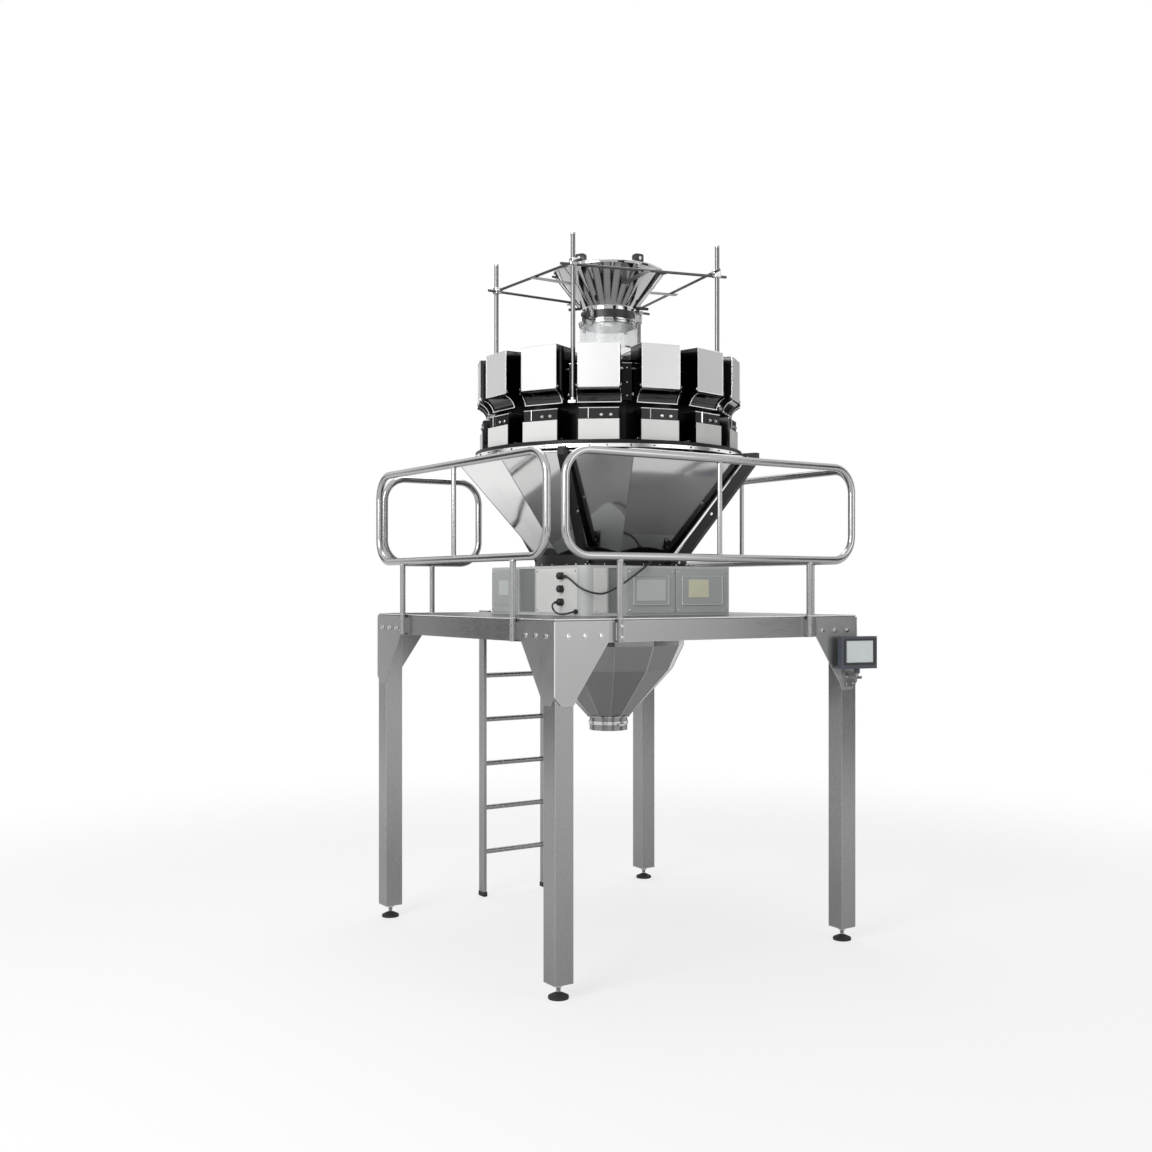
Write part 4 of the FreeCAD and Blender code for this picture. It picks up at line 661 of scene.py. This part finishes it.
def collar_details():
    """Flange screws round the black collar."""
    screws = Form()
    for index in range(24):
        angle = 2 * math.pi * (index + 0.5) / 24
        screws.cap_screw(turned(angle) @ moved(0.4045, 0, 2.007), 0.0038, 0.003)
    screws.finish("collar_screws", "machine", fastener_steel, "satin_steel")


# --- cone and funnels ---------------------------------------------------------------------------

def cone_point(side, share, offset=0.0):
    """A place on a corner ridge of the seven-sided cone, from its lower to its upper edge."""
    radius = 0.396 + (0.830 - 0.396) * share + offset
    angle = math.pi / 2 + side * 2 * math.pi / 7
    return Vector((radius * math.cos(angle), radius * math.sin(angle), 2.060 + 0.507 * share))


def cone_details():
    """Folded hem on the upper edge and seam along each ridge."""
    hem, seams = Form(), Form()
    corners = [cone_point(side, 1.0, 0.001) for side in range(7)]
    for first, second in zip(corners, corners[1:] + corners[:1]):
        hem.bar(first, second, 0.0052, 10)
    for side in range(7):
        seams.bar(cone_point(side, 0.01, 0.0005), cone_point(side, 0.99, 0.0005), 0.0022, 8)
    hem.finish("cone_hem", "machine", lip_steel_painted_highlight, "polished_steel")
    seams.finish("cone_seams", "machine", tube_steel, "polished_steel")


def discharge_details():
    """Ridge seams of the funnel and the spout's clamp band."""
    seams, band = Form(), Form()
    steps = ((0.430, 1.740), (0.422, 1.575), (0.358, 1.440), (0.119, 1.180))
    for side in range(12):
        angle = side * math.pi / 6
        points = [(r * math.cos(angle), r * math.sin(angle), z) for r, z in steps[1:]]
        for first, second in zip(points, points[1:]):
            seams.bar(first, second, 0.0020, 6)
    band.hoop(ring_profile(0.1055, 0.1095, 1.132, 1.152), sides=48)
    band.block((0.030, 0.014, 0.018), facing((0, -0.1085, 1.142), (0, -1, 0)) @ moved(0, -0.007, 0))
    band.bolt(facing((0.016, -0.118, 1.142), (1, 0, 0)), 0.008, 0.005)
    seams.finish("funnel_seams", "machine", tube_steel, "satin_steel")
    band.finish("spout_band", "machine", fastener_steel, "satin_steel")


def arm_details():
    """Joint plates and bolts on the leaning arms."""
    plates, bolts = Form(), Form()
    for gap in ARM_GAPS:
        place = turned((gap + 0.5) * PITCH)
        middle = 0.639 if gap % 2 else 0.605
        for sign in (-1, 1):
            side = (0, sign, 0)
            bolts.bolt(place @ facing((0.448, sign * 0.018, 2.020), side), 0.010, 0.006)
            bolts.bolt(place @ facing((middle, sign * 0.018, 2.275), side), 0.010, 0.006)
        low = place @ Matrix.Translation((0.464, 0, 1.9985))
        plates.block((0.085, 0.070, 0.006), low)
        for x in (-0.03, 0.03):
            for y in (-0.026, 0.026):
                bolts.bolt(low @ moved(x, y, 0.006), 0.008, 0.005)
    plates.finish("arm_feet", "machine", black_frame, "dark_steel", 0.001)
    bolts.finish("arm_bolts", "machine", fastener_steel, "satin_steel")


# --- weighing heads -----------------------------------------------------------------------------

def hopper_trim():
    """Folded hems on the feed hoppers and the hooks that hang them."""
    hems, hooks = Form(), Form()
    for head in range(HEADS):
        place = head_place(head)
        path = [(0.568, -0.104, 3.112), (0.716, -0.104, 3.112), (0.716, 0.104, 3.112), (0.568, 0.104, 3.112)]
        for first, second in zip(path, path[1:]):
            hems.bar(first, second, 0.0024, 8, place)
        for sign in (-1, 1):
            hems.bar((0.7163, sign * 0.1043, 2.893), (0.7163, sign * 0.1043, 3.110), 0.0018, 6, place)
        hems.bar((0.7168, -0.104, 2.8905), (0.7168, 0.104, 2.8905), 0.0024, 8, place)
        for sign in (-1, 1):
            side = facing((0.600, sign * 0.104, 3.000), (0, sign, 0))
            hooks.lathe(((0.008, 0), (0.008, 0.003), (0.0045, 0.004), (0.0045, 0.010), (0.006, 0.011),
                         (0.006, 0.013)), place @ side, 12)
    hems.finish("hopper_hems", "machine", lip_steel_painted_highlight, "bead_blasted_steel")
    hooks.finish("hopper_hooks", "machine", fastener_steel, "satin_steel")


def gate_trim(head):
    """Rolled lip, cheek edges and pin heads of one feed gate, painted bright as a highlight."""
    trim = Form()
    place = head_place(head)
    centre = Vector((0.744, 0, 2.803))
    half = 0.1105

    def on_curve(radius, degrees, across):
        angle = math.radians(degrees)
        return centre + Vector((radius * math.cos(angle), across, radius * math.sin(angle)))

    lip = on_curve(0.0745, 167.3, 0)
    trim.bar((lip.x, -half, lip.z), (lip.x, half, lip.z), 0.0034, 10, place)
    for sign in (-1, 1):
        edge = [on_curve(0.0775, degrees, sign * half) for degrees in range(108, 169, 6)]
        trim.wire(edge, 0.0024, 6, place)
        pin = facing((0.712, sign * 0.1115, 2.900), (0, sign, 0))
        trim.lathe(((0.0075, 0), (0.0075, 0.0016), (0.0055, 0.0022)), place @ pin, 16)
    trim.finish(f"gate_trim_{head + 1:02d}", f"gate_{head + 1:02d}", lip_steel_painted_highlight, "polished_steel")


def drive_details():
    """Top edges painted bright as a highlight, cover screws and rollers of the drives between the heads."""
    caps, screws, rollers = Form(), Form(), Form()
    for head in range(HEADS):
        place = turned((head + 0.5) * PITCH)
        # Painted highlight: a thin bright strip lies on the top of each dark drive.
        caps.slab(((0.570, 0.0145), (0.570, -0.0145), (0.6125, -0.0255), (0.6125, 0.0255)), 3.0265, 3.0295, place)
        for height in (2.862, 2.930, 3.004):
            screws.cap_screw(place @ facing((0.610, 0, height), (1, 0, 0)), 0.0045, 0.003)
        for sign in (-1, 1):
            at = facing((0.592, sign * 0.018, 2.872), (0, sign, 0))
            rollers.lathe(((0.004, 0), (0.004, 0.012), (0.0115, 0.0125), (0.012, 0.014), (0.012, 0.019),
                           (0.0115, 0.0205)), place @ at, 16)
    caps.finish("drive_top_highlights", "machine", fastener_steel, "satin_steel")
    screws.finish("drive_screws", "machine", fastener_steel, "satin_steel")
    rollers.finish("drive_rollers", "machine", fastener_steel, "satin_steel")


def weigh_details():
    """Front panels, top hems, links and flap hinges of the weigh hoppers."""
    panels, hems, links, flaps = Form(), Form(), Form(), Form()
    for head in range(HEADS):
        place = head_place(head)
        panels.block((0.206, 0.102, 0.0018), place @ facing((0.705, 0, 2.680), (1, 0, 0)))
        path = [(0.587, -0.100, 2.788), (0.698, -0.100, 2.788), (0.698, 0.100, 2.788), (0.587, 0.100, 2.788)]
        for first, second in zip(path, path[1:]):
            hems.bar(first, second, 0.0022, 6, place)
        links.bar((0.7035, -0.052, 2.735), (0.7035, -0.052, 2.790), 0.0032, 8, place)
        for y in (0.012, 0.060):
            knob = facing((0.698, y, 2.752), (1, 0, 0))
            links.lathe(((0.008, 0), (0.008, 0.004), (0.0055, 0.006), (0.0055, 0.011)), place @ knob, 12)
        for sign in (-1, 1):
            flaps.bar((0.6415, sign * 0.040, 2.6105), (0.6415, sign * 0.098, 2.6105), 0.005, 10, place)
            flaps.bar((0.622, sign * 0.103, 2.640), (0.662, sign * 0.103, 2.640), 0.0035, 8, place)
    panels.finish("weigh_panels", "machine", panel_sheet, "bead_blasted_steel")
    hems.finish("weigh_hems", "machine", lip_steel_painted_highlight, "polished_steel")
    links.finish("weigh_links", "machine", fastener_steel, "satin_steel")
    flaps.finish("flap_hinges", "machine", fastener_steel, "satin_steel")


def ring_details():
    """Band round the foot of the dark rim, painted bright as a highlight, with its bolts, and the clips under it."""
    clips, bolts, band = Form(), Form(), Form()
    band.hoop(ring_profile(0.7352, 0.7372, 2.5865, 2.6055), sides=84)
    for head in range(HEADS):
        place = turned((head + 0.5) * PITCH)
        clips.block((0.034, 0.012, 0.026), place @ moved(0.718, 0, 2.561))
        clips.block((0.012, 0.030, 0.010), place @ moved(0.733, 0, 2.572))
        bolts.bolt(place @ facing((0.737, 0, 2.5965), (1, 0, 0)), 0.007, 0.004)
        mid = head_place(head)
        for y in (-0.045, 0.045):
            bolts.cap_screw(mid @ facing((0.7368, y, 2.5965), (1, 0, 0)), 0.0038, 0.003)
    band.finish("rim_band", "machine", lip_steel_painted_highlight, "polished_steel")
    clips.finish("rim_clips", "machine", black_mould, "black_plastic", 0.001)
    bolts.finish("rim_bolts", "machine", black_mould, "black_plastic")


def feeder_details():
    """The nut on the dispersion cone and hems along the pans."""
    screws, hems = Form(), Form()
    screws.lathe(((0.030, 3.184), (0.030, 3.190), (0.018, 3.196), (0.006, 3.198)), sides=24)
    for head in range(HEADS):
        place = head_place(head)
        for sign in (-1, 1):
            hems.bar((0.352, sign * 0.0745, 3.108), (0.639, sign * 0.0745, 3.108), 0.0022, 6, place)
    screws.finish("cone_nut", "machine", fastener_steel, "satin_steel")
    hems.finish("pan_hems", "machine", tube_steel, "polished_steel")


# --- infeed -------------------------------------------------------------------------------------

def bowl_radius(height):
    return 0.144 + (0.294 - 0.144) * (height - 3.426) / (3.620 - 3.426)


def infeed_details():
    """Rim bead, side straps with their clamps, band and latch of the neck."""
    rim, straps, dark = Form(), Form(), Form()
    rim.hoop([(0.300 + 0.0045 * math.cos(a), 3.632 + 0.0045 * math.sin(a))
              for a in (2 * math.pi * k / 8 for k in range(8))], sides=72)
    rim.weld(0.144, moved(0, 0, 3.426), 0.0035, 64)
    for degrees, top, foot in ((322, 3.615, 3.440), (146, 3.600, 3.440)):
        place = turned(math.radians(degrees))
        high, low = Vector((bowl_radius(top) + 0.012, 0, top)), Vector((bowl_radius(foot) + 0.010, 0, foot))
        lean = place @ facing(low, high - low, (1, 0, 0))
        straps.block((0.026, 0.006, (high - low).length), lean)
        dark.bar((0.150, 0, foot - 0.006), (0.222, 0, foot - 0.012), 0.008, 12, place)
        dark.bar((bowl_radius(top) + 0.004, 0, top + 0.005), (bowl_radius(top) + 0.036, 0, top + 0.014), 0.006, 10, place)
    dark.hoop(ring_profile(0.1442, 0.1476, 3.360, 3.404, 0.0008), sides=64)
    for degrees in (204, 330):
        place = turned(math.radians(degrees))
        straps.block((0.028, 0.020, 0.046), place @ moved(0.1595, 0, 3.358))
        straps.wire(((0.158, 0, 3.404), (0.176, 0, 3.412), (0.186, 0, 3.392), (0.184, 0, 3.352)), 0.003, 8, place)
    knob = turned(math.radians(200)) @ facing((0.230, 0, 3.352), (-0.2, 0, 1))
    dark.lathe(((0.006, -0.012), (0.006, 0), (0.017, 0.002), (0.018, 0.014), (0.014, 0.020)), knob, 14)
    dark.bar((0.164, 0, 3.347), (0.232, 0, 3.347), 0.005, 8, turned(math.radians(200)))
    rim.finish("bowl_rim", "machine", lip_steel_painted_highlight, "polished_steel")
    straps.finish("bowl_straps", "machine", tube_steel, "satin_steel", 0.0008)
    dark.finish("bowl_clamps", "machine", black_mould, "black_plastic")


def tube_details():
    """Bright hoops and pull catches of the clear tube."""
    hoops = Form()
    hoops.hoop(ring_profile(0.1612, 0.1636, 3.196, 3.206, 0.0008), sides=72)
    hoops.hoop(ring_profile(0.1612, 0.1636, 3.332, 3.343, 0.0008), sides=72)
    for degrees in (20, 110, 200, 290):
        place = turned(math.radians(degrees))
        hoops.block((0.010, 0.022, 0.040), place @ moved(0.168, 0, 3.318))
        hoops.bolt(place @ facing((0.173, 0, 3.338), (1, 0, 0)), 0.009, 0.005)
    hoops.finish("tube_hoops", "machine", tube_steel, "polished_steel")


def post_place(index):
    gap, reach = POSTS[index % 4]
    angle = (gap + 0.5) * PITCH
    return Vector((reach * math.cos(angle), reach * math.sin(angle), 0))


def post_details():
    """Cross clamps where the level rods pass the posts, end caps and foot bolts."""
    clamps, screws = Form(), Form()
    for index, (gap, reach) in enumerate(POSTS):
        post = post_place(index)
        for neighbour in (index + 1, index - 1):
            rod_index = index if neighbour == index + 1 else (index - 1) % 4
            other = post_place(neighbour)
            along = (other - post).normalized()
            inward = Vector((0, 0, 1)).cross(along)
            if neighbour == index - 1:
                inward = -inward
            height = 3.537 + (rod_index % 2) * 0.015
            centre = post + inward * 0.0115 + Vector((0, 0, height))
            place = facing(centre, inward)
            clamps.block((0.034, 0.022, 0.042), place @ moved(0, 0, -0.026))
            screws.bolt(facing(centre + along * 0.017, along), 0.009, 0.006)
        clamps.lathe(((0.0128, 3.684), (0.0128, 3.694), (0.009, 3.6975)), moved(post.x, post.y, 0), 20)
        foot = turned((gap + 0.5) * PITCH)
        for y in (0.0125, -0.0125):
            screws.bolt(foot @ moved(reach - 0.028, y, 2.838), 0.009, 0.006)
        clamps.hoop(ring_profile(0.012, 0.018, 2.8385, 2.852), moved(post.x, post.y, 0), 20)
    clamps.finish("post_clamps", "machine", fastener_steel, "satin_steel", 0.001)
    screws.finish("post_screws", "machine", fastener_steel, "satin_steel")


def sensor_details():
    """Lenses, stalks and lids of the level sensors."""
    bodies, bright = Form(), Form()
    for degrees in (205, 268):
        place = turned(math.radians(degrees))
        bodies.block((0.036, 0.044, 0.006), place @ moved(0.292, 0, 3.666))
        bright.lathe(((0.010, 0), (0.010, 0.004), (0.008, 0.005)), place @ facing((0.312, 0, 3.648), (1, 0, 0)), 16)
        bright.bar((0.300, 0, 3.634), (0.300, 0, 3.600), 0.004, 8, place)
    bodies.finish("sensor_lids", "machine", black_mould, "black_plastic", 0.001)
    bright.finish("sensor_stalks", "machine", fastener_steel, "satin_steel")


# --- screen -------------------------------------------------------------------------------------

def screen_details():
    """Bezel and glass of the touch screen, which turn with it."""
    place = moved(0.896, -1.015, 0) @ turned(-math.radians(12))
    bezel, glass = Form(), Form()
    outer = [(-0.098, 1.478), (0.098, 1.478), (0.098, 1.616), (-0.098, 1.616)]
    front = 0.0272
    corners = [(-0.084, 1.489), (0.084, 1.489), (0.084, 1.607), (-0.084, 1.607)]
    rings = []
    for depth, points in ((front, outer), (front + 0.003, [(x * 0.985, z) for x, z in outer]),
                          (front + 0.003, corners), (front - 0.002, corners)):
        rings.append([(x, -depth, z) for x, z in points])
    bezel.add(rings, place, caps=False)
    glass.slab([(-0.083, 1.490), (0.083, 1.490), (0.083, 1.606), (-0.083, 1.606)], 0, 0.0015,
               place @ Matrix(((1, 0, 0, 0), (0, 0, -1, -0.0250), (0, 1, 0, 0), (0, 0, 0, 1))))
    bezel.finish("screen_bezel", "screen", black_mould, "black_plastic")
    glass.finish("screen_glass", "screen", pale_glass, "grey_plastic")


def screen_mount_details():
    bolts = Form()
    for x in (0.872, 0.920):
        for z in (1.375, 1.412):
            bolts.bolt(facing((x, -0.964, z), (0, -1, 0)), 0.009, 0.005)
    bolts.finish("screen_mount_bolts", "machine", fastener_steel, "satin_steel")


# --- studio -------------------------------------------------------------------------------------

def studio():
    """Pale floor that fades out, soft lamps and a plain white surround."""
    bpy.ops.mesh.primitive_circle_add(vertices=96, radius=9.0, fill_type="NGON", location=(0, 0, -0.0005))
    floor = bpy.context.object
    floor.name = "studio_floor"
    finish = Finish("studio_floor")
    where = finish.node("ShaderNodeVectorMath", {"operation": "LENGTH"}, {0: finish.place()}, output=1)
    fade = where.between(2.6, 6.5, 1.0, 0.0)
    finish.set(Base_Color=(0.93, 0.93, 0.93), Roughness=0.75)
    rays = finish.tree.nodes.new("ShaderNodeLightPath")
    camera = Level(finish, rays.outputs["Is Camera Ray"])
    glow = finish.node("ShaderNodeEmission", None, {"Color": (1, 1, 1), "Strength": 1.0})
    clear = finish.node("ShaderNodeBsdfTransparent")
    lit = finish.node("ShaderNodeMixShader", None, {
        0: camera * 0.70, 1: Level(finish, finish.shader.outputs[0]), 2: glow})
    surface = finish.node("ShaderNodeMixShader", None, {0: fade, 1: clear, 2: lit})
    finish.put(finish.tree.nodes["Material Output"].inputs["Surface"], surface)
    floor.data.materials.append(finish.material)

    world = bpy.data.worlds.new("studio")
    bpy.context.scene.world = world
    world.use_nodes = True
    tree = world.node_tree
    tree.nodes.clear()
    rays = tree.nodes.new("ShaderNodeLightPath")
    seen = tree.nodes.new("ShaderNodeMath")
    seen.operation = "MAXIMUM"
    tree.links.new(rays.outputs["Is Camera Ray"], seen.inputs[0])
    through = tree.nodes.new("ShaderNodeMath")
    through.operation = "MAXIMUM"
    tree.links.new(rays.outputs["Is Glossy Ray"], through.inputs[0])
    tree.links.new(rays.outputs["Is Transmission Ray"], through.inputs[1])
    tree.links.new(through.outputs[0], seen.inputs[1])
    soft, white = tree.nodes.new("ShaderNodeBackground"), tree.nodes.new("ShaderNodeBackground")
    soft.inputs["Color"].default_value = (1, 1, 1, 1)
    soft.inputs["Strength"].default_value = 0.42
    white.inputs["Color"].default_value = (1, 1, 1, 1)
    white.inputs["Strength"].default_value = 1.0
    blend = tree.nodes.new("ShaderNodeMixShader")
    tree.links.new(seen.outputs[0], blend.inputs[0])
    tree.links.new(soft.outputs[0], blend.inputs[1])
    tree.links.new(white.outputs[0], blend.inputs[2])
    output = tree.nodes.new("ShaderNodeOutputWorld")
    tree.links.new(blend.outputs[0], output.inputs["Surface"])

    for name, place, target, size, power in (
            ("key_lamp", (-6.5, -2.6, 4.4), (0, 0, 2.2), 3.4, 270),
            ("fill_lamp", (2.5, -6.5, 3.6), (0, 0, 2.0), 3.0, 34),
            ("top_lamp", (0.5, 1.5, 7.0), (0, 0, 2.0), 3.5, 120)):
        light = bpy.data.lights.new(name, "AREA")
        light.size, light.energy = size, power
        lamp = bpy.data.objects.new(name, light)
        bpy.context.scene.collection.objects.link(lamp)
        lamp.matrix_world = facing(place, Vector(place) - Vector(target))
        lamp.visible_camera = False


def dark_flags():
    """Upright dark screens beside the studio, which give polished metal something dark to reflect."""
    finish = Finish("dark_flag")
    finish.set(Base_Color=(0.02, 0.02, 0.02), Roughness=0.9)
    for index, (angle, distance, width) in enumerate(((205, 9.0, 2.6), (262, 9.0, 2.2), (318, 9.0, 3.0),
                                                      (20, 9.0, 3.0), (75, 9.0, 2.6), (130, 9.0, 3.0))):
        flag = Form()
        flag.slab(((-width / 2, -3.2), (width / 2, -3.2), (width / 2, 3.2), (-width / 2, 3.2)), 0, 0.02)
        bmesh.ops.recalc_face_normals(flag.mesh, faces=flag.mesh.faces[:])
        data = bpy.data.meshes.new(f"dark_flag_{index}")
        flag.mesh.to_mesh(data)
        flag.mesh.free()
        data.materials.append(finish.material)
        screen = bpy.data.objects.new(f"dark_flag_{index}", data)
        bpy.context.scene.collection.objects.link(screen)
        place = (distance * math.cos(math.radians(angle)), distance * math.sin(math.radians(angle)), 3.2)
        screen.matrix_world = facing(place, (-place[0], -place[1], 0))
        for way in ("camera", "diffuse", "shadow", "transmission"):
            setattr(screen, f"visible_{way}", False)


def camera():
    lens = bpy.data.cameras.new("camera")
    lens.sensor_width, lens.lens = 36.0, 40.44
    lens.shift_x, lens.shift_y = -0.0125, 0.0124
    lens.clip_end = 100
    eye = bpy.data.objects.new("camera", lens)
    bpy.context.scene.collection.objects.link(eye)
    eye.location = (-4.082, -5.915, 1.871)
    eye.rotation_euler = (math.pi / 2, 0, -math.radians(33.81))
    bpy.context.scene.camera = eye
    bpy.context.scene.view_settings.view_transform = "Standard"


camera()
cable("signal_cable", SIGNAL_CABLE, 0.010)
cable("power_lead", POWER_LEAD, 0.009)
dress_nodes()
platform_fasteners()
platform_welds()
deck_edge()
leg_feet()
ladder_grips()
cover_details()
gland_details()
collar_details()
cone_details()
discharge_details()
arm_details()
hopper_trim()
for head in range(HEADS):
    gate_trim(head)
drive_details()
weigh_details()
ring_details()
feeder_details()
infeed_details()
tube_details()
post_details()
sensor_details()
screen_details()
screen_mount_details()
studio()
dark_flags()
